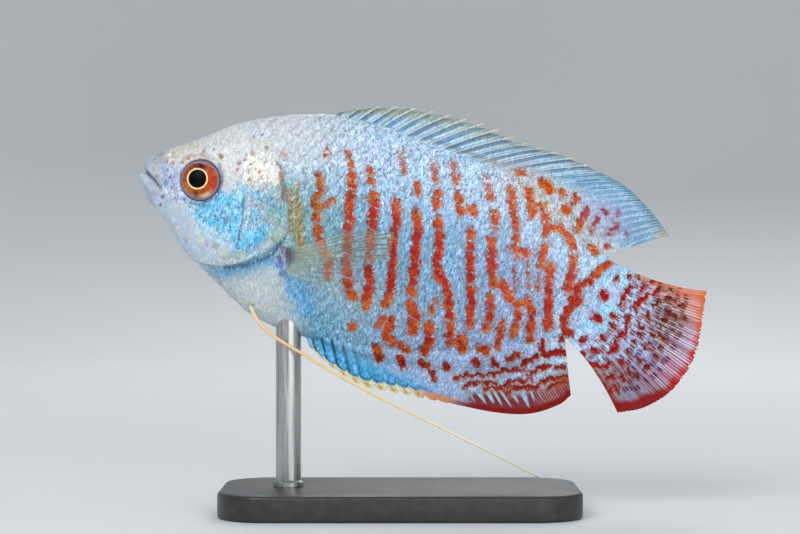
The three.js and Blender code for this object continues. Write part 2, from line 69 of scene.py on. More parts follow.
# Lines on the head and body as [x, z], from top to bottom, and the mouth from front to corner
GILL_EDGE = [[14.5, 22], [17.2, 10.5], [18.1, 7.7], [19.6, 4.3], [21.2, 0.7], [21.8, -1.4],
             [21.4, -3.2], [20.3, -4.9], [18.7, -6.4], [16.5, -8], [14.5, -8.9], [12.6, -9.2], [6, -9.4]]
CHEEK_EDGE = [[18.6, 8.1], [16.2, 7.1], [14.4, 5.2], [14.5, 2], [15, -0.8], [15.3, -3.5],
              [15.1, -6.4], [14.4, -8.4]]
SCALES_FROM = [[11, 22], [12.4, 11], [15.6, 9.6], [18.1, 7.7], [19.6, 4.3], [21.2, 0.7], [21.8, -1.4],
               [21.4, -3.2], [20.3, -4.9], [18.7, -6.4], [16.5, -8], [14.5, -8.9], [12.6, -9.2], [8, -14]]
TAIL_ROOT = [[68.4, 22], [65.7, 6.3], [64.2, 3.2], [63.2, 0.4], [62.6, -1.6], [62.6, -3.8],
             [63.2, -6.1], [66, -22]]
MOUTH = [[-3, 1.15], [0.4, 0.95], [1.3, 0.35], [2.2, -0.35], [3.2, -1.05]]
UPPER_LIP = [[0.75, 2.9], [0.8, 2.1], [1.5, 1.1], [2.4, 0.2], [3.2, -0.6]]
LOWER_LIP = [[0.15, 0.3], [0.5, -0.3], [1.5, -1.0], [2.6, -1.5], [3.3, -2.0]]
MAXILLA = [[1.1, 3.4], [1.6, 2.2], [2.3, 0.9], [2.9, -0.3], [3.3, -1.1]]
JAW_FOLD = [[3.2, -1.05], [4.2, -2.4], [4.6, -4], [6.5, -6.2]]
GILL_COVER = {"proud": 0.38, "flare": 6}
EYE = {"pixel": (200.4, 180.6), "pupil": (198.3, 179.2), "radius": 2.95, "half_depth": 1.75, "sunk": 0.98}
NOSTRIL_PIXELS = [(166.8, 161), (180.3, 161.5)]

# Fins: the edges run from the first ray's tip to the last ray's. u runs from 0 to 1 over the rays of a
# fin, from front to rear or from top to bottom, and t from its root to its edge.
FIN_SUNK = 1.2
DORSAL_ROOT = (23, 63.7)
DORSAL_EDGE = [[24.9, 16.3], [29.7, 18.3], [35.9, 19.6], [44.6, 19.8], [50.7, 18.8], [56, 18.7],
               [60.8, 17.6], [65.7, 16.4], [70, 14.1], [73.6, 11.3]]
ANAL_ROOT = (27.4, 62.9)
ANAL_EDGE = [[29.2, -16.9], [33.2, -18.9], [37.8, -20.1], [42.8, -19.8], [49.9, -19.3],
             [56.4, -18.9], [61.1, -17.8], [64.6, -15.6], [66, -13.8]]
CAUDAL_EDGE = [[80.7, 5.2], [81.4, -1.4], [81.1, -5.4], [79.4, -9.6], [76.4, -12.8], [73, -14.5]]
CAUDAL_BOW = (-1.1, 1.2)
PECTORAL_ROOT = [[22, -4.1], [22.7, -7.7]]
PECTORAL_EDGE = [[31.8, 1], [33.8, 1.4], [36.1, 1.8], [36.4, -0.2], [36.4, -1.8], [33.6, -3.8],
                 [31.8, -5.4], [29.4, -8.3]]
PECTORAL_SPLAY = math.radians(17)
FIN_WAVE = {"amplitude": 0.45, "length": 17, "rise": 4, "tail_rise": 14, "tail_pitch": 4}

# Pelvic feelers as [x, y, z], with y outwards
LEFT_FEELER = [[18.7, 0.9, -12], [20.6, 2, -14.5], [23.1, 2.6, -16.2], [27.8, 3, -17.65],
               [37.2, 3.6, -20.2], [50.9, 4.6, -22.9], [64.2, 5.8, -25.6]]
RIGHT_FEELER = [[18.7, 0.9, -12.2], [20.7, 2.3, -14.3], [24, 3.6, -15.2], [31, 4.6, -15.5],
                [40, 5.2, -16.2], [50, 5.4, -16.8], [60, 5.4, -16.2]]
FEELER_RADIUS = (0.33, 0.13)


# Places and curves

def in_world(points):
    """Metres in the model's frame, from the fish's millimetres."""
    x, y, z = np.moveaxis(np.asarray(points, float), -1, 0)
    c, s = math.cos(NOSE_UP), math.sin(NOSE_UP)
    return np.stack([SNOUT[0] + x * c + z * s, y, SNOUT[1] - x * s + z * c], -1) * MM


def srgb(red, green, blue):
    """A colour for the shaders from its 0 to 255 values on a screen."""
    share = np.array([red, green, blue]) / 255
    linear = np.where(share < 0.04045, share / 12.92, ((share + 0.055) / 1.055) ** 2.4)
    return np.append(linear, 1.0)


def smooth_step(low, high, value):
    t = np.clip((value - low) / (high - low), 0, 1)
    return t * t * (3 - 2 * t)


def bell(value, width):
    """1 where a value is zero, falling away over a width on both sides."""
    return np.exp(-(value / width) ** 2)


def ripple(x, z, pitch, seed):
    """A soft irregular value from -1 to 1, made of crossing waves."""
    draw = np.random.default_rng(seed)
    total = np.zeros(np.shape(x))
    for _ in range(5):
        heading = draw.uniform(0, 2 * math.pi)
        wave = 2 * math.pi / (pitch * draw.uniform(0.6, 1.5))
        total += np.sin((x * math.cos(heading) + z * math.sin(heading)) * wave + draw.uniform(0, 6.3))
    return total / 5


def smooth_over(points):
    """A smooth value over x, through points [x, value] in rising order of x."""
    xs, values = np.array(points, float).T
    slopes = np.gradient(values)
    slopes[1:-1] = (values[2:] - values[:-2]) / (xs[2:] - xs[:-2])
    slopes[0] = (values[1] - values[0]) / (xs[1] - xs[0])
    slopes[-1] = (values[-1] - values[-2]) / (xs[-1] - xs[-2])

    def at(x):
        x = np.clip(x, xs[0], xs[-1])
        i = np.clip(np.searchsorted(xs, x, side="right") - 1, 0, len(xs) - 2)
        run = xs[i + 1] - xs[i]
        t = (x - xs[i]) / run
        return ((2 * t**3 - 3 * t**2 + 1) * values[i] + (t**3 - 2 * t**2 + t) * run * slopes[i]
                + (3 * t**2 - 2 * t**3) * values[i + 1] + (t**3 - t**2) * run * slopes[i + 1])
    return at


back_at = smooth_over(BACK)
belly_at = smooth_over(BELLY)
half_width_at = smooth_over(HALF_WIDTH)
widest_at = smooth_over(WIDEST_AT)
back_keel_at = smooth_over(BACK_KEEL)
belly_keel_at = smooth_over(BELLY_KEEL)


def sweep_at(x):
    """How far the middle plane lies aside at x."""
    t = np.maximum(0, (x - TAIL_SWEEP["from"]) / (TAIL_SWEEP["to"] - TAIL_SWEEP["from"]))
    return TAIL_SWEEP["aside"] * t * t


def rounded(line, steps=10):
    """Points along a smooth curve through the points of a line."""
    line = np.array(line, float)
    ends = [2 * line[:1] - line[1:2], line, 2 * line[-1:] - line[-2:-1]]
    p0, p1, p2, p3 = (np.concatenate(ends)[k:len(line) - 1 + k, None] for k in range(4))
    t = np.linspace(0, 1, steps, endpoint=False)[:, None]
    curve = 0.5 * (2 * p1 + (p2 - p0) * t + (2 * p0 - 5 * p1 + 4 * p2 - p3) * t**2
                   + (3 * p1 - p0 - 3 * p2 + p3) * t**3)
    return np.concatenate([curve.reshape(-1, line.shape[1]), line[-1:]])


def edge_curve(edge):
    """The point at a share of the length of a smooth edge."""
    line = rounded(edge, 24)
    lengths = np.append(0, np.cumsum(np.linalg.norm(np.diff(line, axis=0), axis=1)))
    share = lengths / lengths[-1]
    return lambda u: np.stack([np.interp(u, share, line[:, k]) for k in range(line.shape[1])], -1)


def to_line(places, line):
    """How far [x, z] places lie from a line: positive on the left of one who walks along it."""
    best = np.full(len(places), 1e9)
    side = np.ones(len(places))
    for start, end in zip(line[:-1], line[1:]):
        along = end - start
        from_start = places - start
        t = np.clip(from_start @ along / (along @ along), 0, 1)
        distance = np.linalg.norm(from_start - t[:, None] * along, axis=1)
        nearer = distance < best
        best = np.where(nearer, distance, best)
        left = along[0] * from_start[:, 1] - along[1] * from_start[:, 0]
        side = np.where(nearer, np.where(left < 0, -1, 1), side)
    return best * side


def body_surface(x, angle):
    """The body's surface before any feature is raised on it. The angle turns from the left side up."""
    level = widest_at(x)
    up = np.sin(angle)
    across = -np.cos(angle)
    reach = np.where(up > 0, back_at(x) - level, level - belly_at(x))
    keel = np.where(up > 0, back_keel_at(x), belly_keel_at(x))
    y = np.sign(across) * np.abs(across) ** keel * half_width_at(x)
    return np.stack([x, sweep_at(x) + y, level + up * reach], -1)


def flank_at(x, z):
    """Half the body's width at a place seen from the side."""
    level = widest_at(x)
    over = z > level
    share = np.where(over, (z - level) / (back_at(x) - level), (level - z) / (level - belly_at(x)))
    keel = np.where(over, back_keel_at(x), belly_keel_at(x))
    return half_width_at(x) * np.sqrt(np.clip(1 - share**2, 0, 1)) ** keel


def in_plane(x, z):
    """The sideways place of the fins' middle plane."""
    return sweep_at(x)


def left_side(x, z):
    """The sideways place of the left flank."""
    return sweep_at(x) - flank_at(x, z)


def seen_on(points, y_at=left_side):
    """Where the camera sees points of the middle plane on a nearer surface."""
    x, z = np.array(points, float).T
    c, s = math.cos(NOSE_UP), math.sin(NOSE_UP)
    right = SNOUT[0] + x * c + z * s
    up = SNOUT[1] - x * s + z * c - CAMERA["height"]
    for _ in range(5):
        share = 1 + y_at(x, z) / CAMERA["back"]
        across = right * share - SNOUT[0]
        rise = up * share + CAMERA["height"] - SNOUT[1]
        x, z = across * c - rise * s, across * s + rise * c
    return np.stack([x, z], -1)


def from_photo(pixels):
    """[x, z] in the fish's frame, where the sight lines of pixels meet its left side."""
    across, down = (np.asarray(pixels, float) - SNOUT_PIXEL).T * MM_PER_PIXEL
    c, s = math.cos(NOSE_UP), math.sin(NOSE_UP)
    return seen_on(np.stack([across * c + down * s, across * s - down * c], -1))


gill_edge = rounded(seen_on(GILL_EDGE))
cheek_edge = rounded(seen_on(CHEEK_EDGE))
scales_from = rounded(seen_on(SCALES_FROM))
tail_root = rounded(TAIL_ROOT)
mouth = rounded(seen_on(MOUTH))
upper_lip = rounded(seen_on(UPPER_LIP))
lower_lip = rounded(seen_on(LOWER_LIP))
maxilla = rounded(seen_on(MAXILLA))
jaw_fold = rounded(seen_on(JAW_FOLD))
pectoral_root = seen_on(PECTORAL_ROOT)
eye_place = from_photo([EYE["pixel"]])[0]
pupil_place = from_photo([EYE["pupil"]])[0]
front_nostril, rear_nostril = from_photo(NOSTRIL_PIXELS)

# Markings, in pixels of the photograph

# The bars of the flank as half width and points, from top to bottom, and short dabs as their first point
FLANK_BARS = [
    (3.6, [(319, 176), (321, 190), (315, 200), (317, 215), (318, 235), (322, 247), (329, 260), (328, 276)]),
    (2.4, [(322, 208), (333, 200)]), (2.2, [(347, 152), (351, 168)]),
    (4.2, [(352, 176), (352, 195), (349, 205), (349, 230), (347, 250), (347, 272), (348, 288), (353, 297)]),
    (2.8, [(369, 166), (372, 185)]),
    (4.4, [(373, 195), (375, 205), (373, 220), (371, 240), (369, 262), (370, 282), (368, 296), (366, 305)]),
    (4.0, [(396, 202), (397, 222), (393, 240), (393, 255), (392, 275), (390, 292), (386, 304)]),
    (3.0, [(417, 184), (418, 194)]),
    (4.3, [(416, 213), (418, 226), (416, 245), (415, 265), (413, 282), (412, 296)]),
    (5.2, [(411, 305), (415, 316), (412, 330)]), (2.8, [(434, 165), (436, 180)]),
    (3.8, [(437, 193), (437, 207)]),
    (4.2, [(438, 220), (440, 238), (438, 256), (437, 273), (444, 281), (448, 293), (449, 310), (451, 324)]),
    (3.8, [(451, 324), (450, 342), (461, 344)]), (5.0, [(462, 338), (463, 349)]),
    (3.4, [(453, 164), (457, 182)]), (3.8, [(458, 194), (461, 213)]), (4.6, [(471, 209), (473, 212)]),
    (4.0, [(471, 232), (470, 248), (471, 265), (470, 282), (472, 300), (470, 325)]),
    (3.2, [(486, 180), (491, 200)]), (3.8, [(494, 212), (495, 226)]),
    (4.2, [(492, 240), (492, 256), (492, 272), (494, 285)]), (3.8, [(490, 297), (491, 314), (486, 330)]),
    (3.6, [(510, 190), (513, 206), (516, 224), (516, 240)]), (4.0, [(513, 248), (520, 250), (527, 254)]),
    (4.0, [(503, 284), (508, 296)]), (3.6, [(530, 304), (532, 318), (530, 340)]),
    (3.4, [(517, 303), (518, 318), (513, 336)]), (3.6, [(529, 190), (532, 214)]),
    (3.4, [(541, 205), (547, 222), (545, 234), (550, 228), (560, 227), (567, 236)]),
    (4.0, [(567, 236), (573, 245), (574, 262), (571, 278), (567, 290)]), (3.6, [(545, 246), (541, 266)]),
    (4.0, [(551, 266), (549, 284), (549, 303), (547, 328)]), (3.6, [(609, 264), (600, 270)]),
    (3.8, [(600, 270), (590, 280), (578, 288)]), (4.2, [(578, 288), (577, 300), (567, 312), (564, 326)]),
    (5.8, [(574, 300), (578, 301)]), (5.0, [(567, 332)]), (2.8, [(562, 338), (561, 342)]),
    (3.2, [(590, 247), (596, 252)]), (3.6, [(352, 325), (353, 328)]), (3.6, [(384, 318), (378, 324)]),
    (4.6, [(391, 322), (387, 332)]), (4.2, [(386, 338), (393, 343)]), (4.0, [(376, 348), (380, 358)]),
    (4.0, [(401, 346), (407, 350)]), (3.4, [(400, 357), (403, 366)]),
    (4.8, [(429, 326), (430, 340), (424, 352)]), (4.8, [(481, 349), (485, 350)]),
    (3.8, [(446, 366), (447, 368)]), (3.8, [(475, 361)]), (3.8, [(493, 362)]),
    (3.2, [(420, 362), (428, 367)]), (3.0, [(432, 372), (434, 378)]), (3.2, [(508, 359), (518, 353)]),
    (3.2, [(524, 363), (536, 357)]), (2.6, [(328, 151), (327, 155)]),
    (3.2, [(508, 298), (517, 303), (530, 303)]), (3.0, [(503, 322), (500, 335), (497, 347)]),
    (5.0, [(548, 323), (548, 325)]), (2.2, [(435, 300), (431, 315)]), (2.0, [(402, 152), (405, 172)]),
    (2.8, [(531, 204), (534, 212), (531, 217)]), (1.1, [(515, 256), (515, 294)]),
    (1.1, [(528, 256), (528, 298)]), (1.0, [(538, 276), (538, 294)]),
]

# The lines that cross the anal fin
ANAL_LINES = [
    (2.5, [(455, 379), (461, 376), (479, 375), (496, 374), (505, 370), (523, 370)]),
    (2.3, [(464, 388), (471, 383), (496, 383)]), (2.4, [(502, 389), (509, 382), (530, 380)]),
    (2.3, [(484, 389), (498, 388), (507, 387)]), (2.6, [(507, 395), (512, 388), (536, 387)]),
    (2.4, [(536, 389), (541, 382), (550, 379), (564, 377)]), (2.2, [(548, 389), (555, 384), (566, 382)]),
    (3.0, [(530, 374), (537, 370), (548, 366)]), (2.4, [(555, 368), (564, 367)]),
    (3.4, [(543, 341), (541, 350), (547, 356), (560, 351), (565, 355)]),
]

# The spots and short bars of the caudal fin
CAUDAL_SPOTS = [
    (5.5, [(603, 295), (604, 296)]), (1.9, [(618, 275), (616, 281)]),
    (2.8, [(631, 287), (625, 295), (622, 305)]), (2.2, [(630, 276), (630, 278)]),
    (2.2, [(640, 276), (640, 278)]), (2.3, [(641, 288), (647, 286)]), (2.1, [(653, 281), (662, 282)]),
    (2.8, [(661, 289), (656, 293)]), (2.8, [(647, 297), (640, 302), (635, 307), (637, 314)]),
    (2.4, [(660, 302), (654, 306)]), (2.8, [(668, 298)]), (2.8, [(668, 311)]),
    (4.2, [(595, 316), (599, 320)]), (2.8, [(612, 315)]), (2.8, [(612, 325)]),
    (2.7, [(628, 317), (627, 328)]), (2.3, [(649, 313), (649, 319)]), (2.7, [(640, 325)]),
    (2.6, [(639, 334)]), (3.0, [(602, 337)]), (2.3, [(620, 336), (625, 333)]),
    (2.7, [(616, 342), (617, 348), (610, 352)]), (2.2, [(633, 342)]), (2.5, [(627, 351)]),
    (2.3, [(586, 337), (581, 342)]), (2.6, [(582, 353)]), (3.3, [(594, 349)]),
    (2.7, [(590, 364), (599, 367), (608, 366), (610, 364)]), (2.6, [(620, 361)]), (2.4, [(637, 358)]),
    (2.8, [(628, 370)]), (2.4, [(645, 366)]), (2.6, [(596, 376)]), (2.6, [(609, 378), (614, 377)]),
    (2.6, [(622, 378)]), (2.4, [(635, 376)]), (2.3, [(603, 384)]), (2.5, [(614, 387), (618, 388)]),
    (2.4, [(664, 320), (667, 321)]), (2.0, [(659, 325), (661, 326)]), (2.4, [(661, 337), (664, 338)]),
    (2.2, [(653, 335), (655, 336)]), (2.0, [(649, 343), (651, 344)]), (2.2, [(660, 347), (662, 348)]),
    (2.2, [(645, 348), (647, 349)]), (2.4, [(654, 355)]), (2.0, [(609, 391)]),
    (2.4, [(674, 317), (677, 318)]), (2.2, [(681, 306), (683, 307)]), (2.2, [(675, 300), (677, 301)]),
    (2.2, [(671, 290), (673, 291)]), (2.0, [(684, 319), (687, 320)]), (2.0, [(671, 329), (674, 331)]),
]

# The spots on the rear of the dorsal fin and on its scaly foot
DORSAL_SPOTS = [
    (3.4, [(518, 172), (523, 173)]), (5.2, [(543, 183), (550, 190)]), (3.6, [(561, 193), (563, 194)]),
    (4.8, [(565, 209)]), (2.8, [(577, 200), (573, 204)]), (2.6, [(575, 196)]),
    (3.4, [(587, 210), (581, 220), (577, 230)]), (2.4, [(597, 219), (594, 225)]),
    (2.2, [(603, 210), (607, 213)]), (2.0, [(590, 228), (592, 232)]), (2.2, [(611, 230), (617, 228)]),
    (2.0, [(608, 234)]), (2.0, [(617, 214)]), (2.0, [(613, 222)]), (1.8, [(626, 234), (628, 235)]),
    (2.2, [(606, 246), (609, 247)]),
]


def in_millimetres(marks, slimmer=0.0):
    """Markings in the fish's frame. One with a single point is a dab that ends 2 pixels on and down."""
    lines = []
    for half_width, pixels in marks:
        if len(pixels) == 1:
            pixels = [pixels[0], (pixels[0][0] + 2, pixels[0][1] + 2)]
        lines.append(((half_width - slimmer) * MM_PER_PIXEL, from_photo(pixels)))
    return lines


tail_marks = [bar for bar in FLANK_BARS if bar[1][0][0] > 555]
flank_marks = in_millimetres(FLANK_BARS)
flank_marks += in_millimetres(DORSAL_SPOTS, 0.3) + in_millimetres(ANAL_LINES, 0.25)
caudal_marks = in_millimetres(tail_marks) + in_millimetres(CAUDAL_SPOTS, 0.2)


def to_marks(places, marks):
    """How far [x, z] places lie outside the nearest marking, less than zero inside."""
    best = np.full(len(places), 3.0)
    for half_width, line in marks:
        for start, end in zip(line[:-1], line[1:]):
            along = end - start
            from_start = places - start
            t = np.clip(from_start @ along / (along @ along), 0, 1)
            best = np.minimum(best, np.linalg.norm(from_start - t[:, None] * along, axis=1) - half_width)
    return best


# The ground colours, one for each part of the fish
# Painted light: the back's pale pearl is partly the fish's own colour and partly painted light from above
BACK_PEARL_AND_TOP_LIGHT = srgb(190, 214, 236)
FLANK_BLUE = srgb(128, 176, 206)
FRONT_TEAL = srgb(130, 172, 170)
REAR_LAVENDER = srgb(158, 174, 208)
FOOT_WARM = srgb(210, 192, 174)
BELLY_BLUE = srgb(106, 172, 204)
ANAL_BLUE = srgb(64, 158, 208)
LOWER_OLIVE = srgb(166, 176, 178)
TAIL_PALE = srgb(178, 204, 228)
BREAST_SILVER = srgb(190, 202, 206)
THROAT_SILVER = srgb(178, 196, 210)
THROAT_WARM = srgb(208, 208, 198)
CHEEK_CYAN = srgb(112, 194, 226)
CHEEK_PALE = srgb(198, 218, 240)
# Painted shade: the darker blue band under the gill cover is partly the fish's blue and partly painted
# shade
UNDER_GILL_BLUE_AND_SHADE = srgb(84, 156, 194)
GILL_CREAM = srgb(242, 236, 220)
GILL_RIM = srgb(172, 178, 168)
GILL_SHOULDER = srgb(168, 178, 184)
SNOUT_TAN = srgb(204, 186, 160)
CROWN_SILVER = srgb(206, 208, 208)
SNOUT_VIOLET = srgb(172, 176, 208)
LIP_GREY = srgb(165, 175, 190)

# Where the cheek ends below and the crown begins above, as [x, z] from front to rear
CHEEK_FOOT = [[2.5, -0.8], [5, -1.2], [7.4, -2.3], [10, -4.2], [12.4, -4.8], [15.7, -5.9], [19, -6.2]]
CROWN_FOOT = [[-1, 3.6], [5, 3.4], [8.5, 3.6], [11.6, 1.5], [14, 2.8], [17, 4], [20, 5]]
cheek_foot = rounded(seen_on(CHEEK_FOOT))
crown_foot = rounded(seen_on(CROWN_FOOT))

# Where the blue of the anal fin begins above, in pixels of the photograph
ANAL_BLUE_TOP = [(290, 318), (315, 336), (345, 352), (385, 369), (420, 382), (455, 396)]
anal_blue_top = rounded(from_photo(ANAL_BLUE_TOP))


def lay(paint, colour, grain, weight):
    """Blends a colour and its graininess, kept as the paint's alpha, over paint."""
    return paint + weight[:, None] * (np.append(colour[:3], grain) - paint)


def ground_colour(places):
    """The ground colour of [x, z] places by the part they lie on, with its graininess as alpha. It holds
    some painted light on the back and along the belly keel, and some painted shade under the gill cover.
    """
    x, z = places.T
    height = (z - belly_at(x)) / (back_at(x) - belly_at(x))
    height = height + 0.04 * ripple(x, z, 7, 51)
    paint = np.tile(np.append(FLANK_BLUE[:3], 0.9), (len(places), 1))
    paint = lay(paint, REAR_LAVENDER, 0.9, 0.8 * smooth_step(38, 58, x))
    paint = lay(paint, REAR_LAVENDER, 0.8, 0.6 * smooth_step(0.35, 0.1, height) * smooth_step(34, 42, x))
    front = smooth_step(34, 24, x) * smooth_step(0.1, 0.3, height)
    paint = lay(paint, FRONT_TEAL, 0.8, 0.8 * front * smooth_step(0.85, 0.6, height))
    # Painted light: the pale back, partly its own pearl colour and partly light falling from above
    paint = lay(paint, BACK_PEARL_AND_TOP_LIGHT, 1.0, 0.95 * smooth_step(0.55, 0.85, height))
    paint = lay(paint, FOOT_WARM, 0.8, 0.85 * smooth_step(0.8, 0.95, height) * smooth_step(45, 54, x))
    nape = smooth_step(34, 18, x) * smooth_step(0.6, 0.85, height)
    paint = lay(paint, CROWN_SILVER, 0.35, 0.85 * nape)
    belly = smooth_step(0.32, 0.16, height) * smooth_step(19, 25, x) * smooth_step(37, 28, x)
    paint = lay(paint, BELLY_BLUE, 0.75, belly)
    paint = lay(paint, LOWER_OLIVE, 0.6, 0.65 * bell(x - 33, 7) * bell(height - 0.24, 0.14))
    paint = lay(paint, TAIL_PALE, 0.9, 0.8 * smooth_step(57, 63, x))
    drift = ripple(x, z, 2.2, 56)
    below = 0.5 * drift - to_line(places, anal_blue_top)
    paint = lay(paint, ANAL_BLUE, 0.8, 0.9 * smooth_step(-0.8, 1.0, below) * smooth_step(50, 43, x))
    # Painted light: the paint a little paler along the belly keel, against the shade where the body turns
    # under
    painted_keel_light = bell(z - belly_at(x) - 0.5, 1.0) * smooth_step(27, 34, x)
    paint[:, :3] *= (1 + 0.03 * painted_keel_light)[:, None]
    breast = smooth_step(27.5, 21.5, x + 0.6 * (z + 10)) * smooth_step(0.36, 0.22, height)
    paint = lay(paint, BREAST_SILVER, 0.3, breast)
    paint = lay(paint, THROAT_WARM, 0.3, 0.6 * breast * smooth_step(0.0, 0.6, drift))

    # Painted shade: a darker blue band just under the gill cover, partly the fish's blue and partly shade
    # under the cover
    under_gill_blue_and_shade = bell(to_line(places, gill_edge) - 0.7, 1.2)
    under_gill_blue_and_shade = under_gill_blue_and_shade * smooth_step(-4.5, -7, z) * smooth_step(9, 15, x)
    paint = lay(paint, UNDER_GILL_BLUE_AND_SHADE, 0.4, 0.85 * under_gill_blue_and_shade)

    head = smooth_step(0.5, -0.5, to_line(places, scales_from))[:, None]
    return paint * (1 - head) + head_colour(places) * head


def head_colour(places):
    """Silver throat, blotched cyan cheek and gill cover, cream shoulder, tan and violet snout."""
    x, z = places.T
    drift = ripple(x, z, 2.6, 53)
    fine = ripple(x, z, 1.0, 54)
    blotch = ripple(x, z, 1.9, 55)
    above_throat = smooth_step(-1.0, 1.0, to_line(places, cheek_foot) + 0.5 * drift + 0.3 * fine)
    above_cheek = smooth_step(-1.0, 1.0, to_line(places, crown_foot) + 0.7 * drift + 0.3 * fine)
    on_cover = smooth_step(-0.2, 0.2, to_line(places, cheek_edge)) * smooth_step(12, 14, x)
    paint = np.tile(np.append(THROAT_SILVER[:3], 0.3), (len(places), 1))
    paint = lay(paint, THROAT_WARM, 0.3, 0.7 * smooth_step(0.0, 0.6, blotch))
    paint = lay(paint, CHEEK_PALE, 0.35, 0.6 * smooth_step(0.1, 0.7, -blotch))
    paint = lay(paint, CHEEK_PALE, 0.6, above_throat * smooth_step(3.5, 5.5, x))
    bright = 1 - 0.6 * smooth_step(-0.1, 0.6, blotch + 0.5 * fine)
    paint = lay(paint, CHEEK_CYAN, 1.0, above_throat * bright * smooth_step(6.5, 10, x))
    low = smooth_step(-2.2, -4.0, z + 0.5 * drift)
    cover_blue = low + (1 - low) * 0.75 * smooth_step(0.2, -0.5, blotch + 0.5 * fine)
    cover_blue = cover_blue * on_cover * smooth_step(-8.2, -7.0, z)
    paint = lay(paint, GILL_SHOULDER, 0.8, 0.8 * on_cover * smooth_step(-4, -1, z))
    paint = lay(paint, CHEEK_CYAN, 1.0, cover_blue)
    cover_rear = on_cover * smooth_step(17.5, 19.5, x) * smooth_step(-5, -2, z)
    paint = lay(paint, FRONT_TEAL, 0.8, 0.7 * cover_rear)
    rim = bell(to_line(places, gill_edge) + 0.3 * drift + 0.9, 0.9)
    paint = lay(paint, GILL_RIM, 0.4, 0.85 * rim * smooth_step(12.5, 15, x) * smooth_step(0, -3, z))
    paint = lay(paint, CROWN_SILVER, 0.45, above_cheek)
    paint = lay(paint, THROAT_WARM, 0.5, 0.6 * above_cheek * smooth_step(0.0, 0.7, blotch))
    shoulder = bell(z - 5.4 - 0.1 * (x - 16) + 0.5 * drift, 2.0)
    paint = lay(paint, GILL_CREAM, 0.7, smooth_step(13, 15.5, x) * shoulder)
    tan = smooth_step(8, 5.5, x) * smooth_step(2.4, 3.4, z + 0.4 * fine)
    paint = lay(paint, SNOUT_TAN, 0.5, 0.75 * tan * (0.6 + 0.4 * blotch))
    snout = smooth_step(7.5, 5, x) * smooth_step(-3, -1, z) * smooth_step(3.4, 2.4, z)
    paint = lay(paint, SNOUT_VIOLET, 0.8, 0.75 * snout)
    return lay(paint, LIP_GREY, 0.2, smooth_step(3.4, 2.2, x))


# Meshes

def shown(name):
    """The object just made, under its name."""
    piece = bpy.context.object
    piece.name = name
    piece.data.name = name
    return piece


def make_active(piece):
    bpy.ops.object.select_all(action="DESELECT")
    bpy.context.view_layer.objects.active = piece
    piece.select_set(True)


def select_rim():
    """Into edit mode, with the open rim of the active sheet selected."""
    bpy.ops.object.mode_set(mode="EDIT")
    bpy.ops.mesh.select_mode(type="EDGE")
    bpy.ops.mesh.select_all(action="SELECT")
    bpy.ops.mesh.region_to_loop()


def face_outwards():
    """Turns every face of the active piece outwards."""
    bpy.ops.object.mode_set(mode="EDIT")
    bpy.ops.mesh.select_all(action="SELECT")
    bpy.ops.mesh.normals_make_consistent(inside=False)
    bpy.ops.object.mode_set(mode="OBJECT")


def finished(piece, slot, *nodes):
    """A piece that rides on the model and stands for CAD nodes, which it hides; the slot is not used."""
    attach(piece, "root")
    if nodes:
        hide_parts(*nodes)
    return piece


def corners(piece):
    """The corners of a piece as rows of x, y and z."""
    flat = np.empty(len(piece.data.vertices) * 3)
    piece.data.vertices.foreach_get("co", flat)
    return flat.reshape(-1, 3)


def move_corners(piece, points):
    piece.data.vertices.foreach_set("co", np.asarray(points).ravel())
    piece.data.update()


def mix_colours(first, second, weight):
    return first * (1 - weight[:, None]) + np.asarray(second) * weight[:, None]


def laid(paint, *layers):
    """Paint, or one colour for all corners, with layers of (colour, weight) over it."""
    for colour, weight in layers:
        paint = mix_colours(paint, colour, weight)
    return paint


def hues(table):
    """Colours for the shaders from a table of 0 to 255 values."""
    return {name: srgb(*values) for name, values in table.items()}


def note(piece, name, values):
    """Stores a number or a colour on each corner of a piece."""
    kind = "FLOAT_COLOR" if values.ndim == 2 else "FLOAT"
    attribute = piece.data.attributes.new(name, kind, "POINT")
    attribute.data.foreach_set("color" if values.ndim == 2 else "value", values.astype(float).ravel())


MARK_OCHRE = srgb(160, 110, 46)
MARK_ORANGE = srgb(208, 96, 34)
MARK_RED = srgb(186, 40, 8)
MARK_CRIMSON = srgb(166, 16, 14)
MARK_MAGENTA = srgb(158, 66, 112)
MARK_BROWN = srgb(104, 34, 30)
MARK_MAROON = srgb(138, 22, 14)

# How far the markings' edges wander, and how far in front of each its dark edge lies
MARK_WOBBLE = 0.38
MARK_BESIDE = [0.26, -0.15]


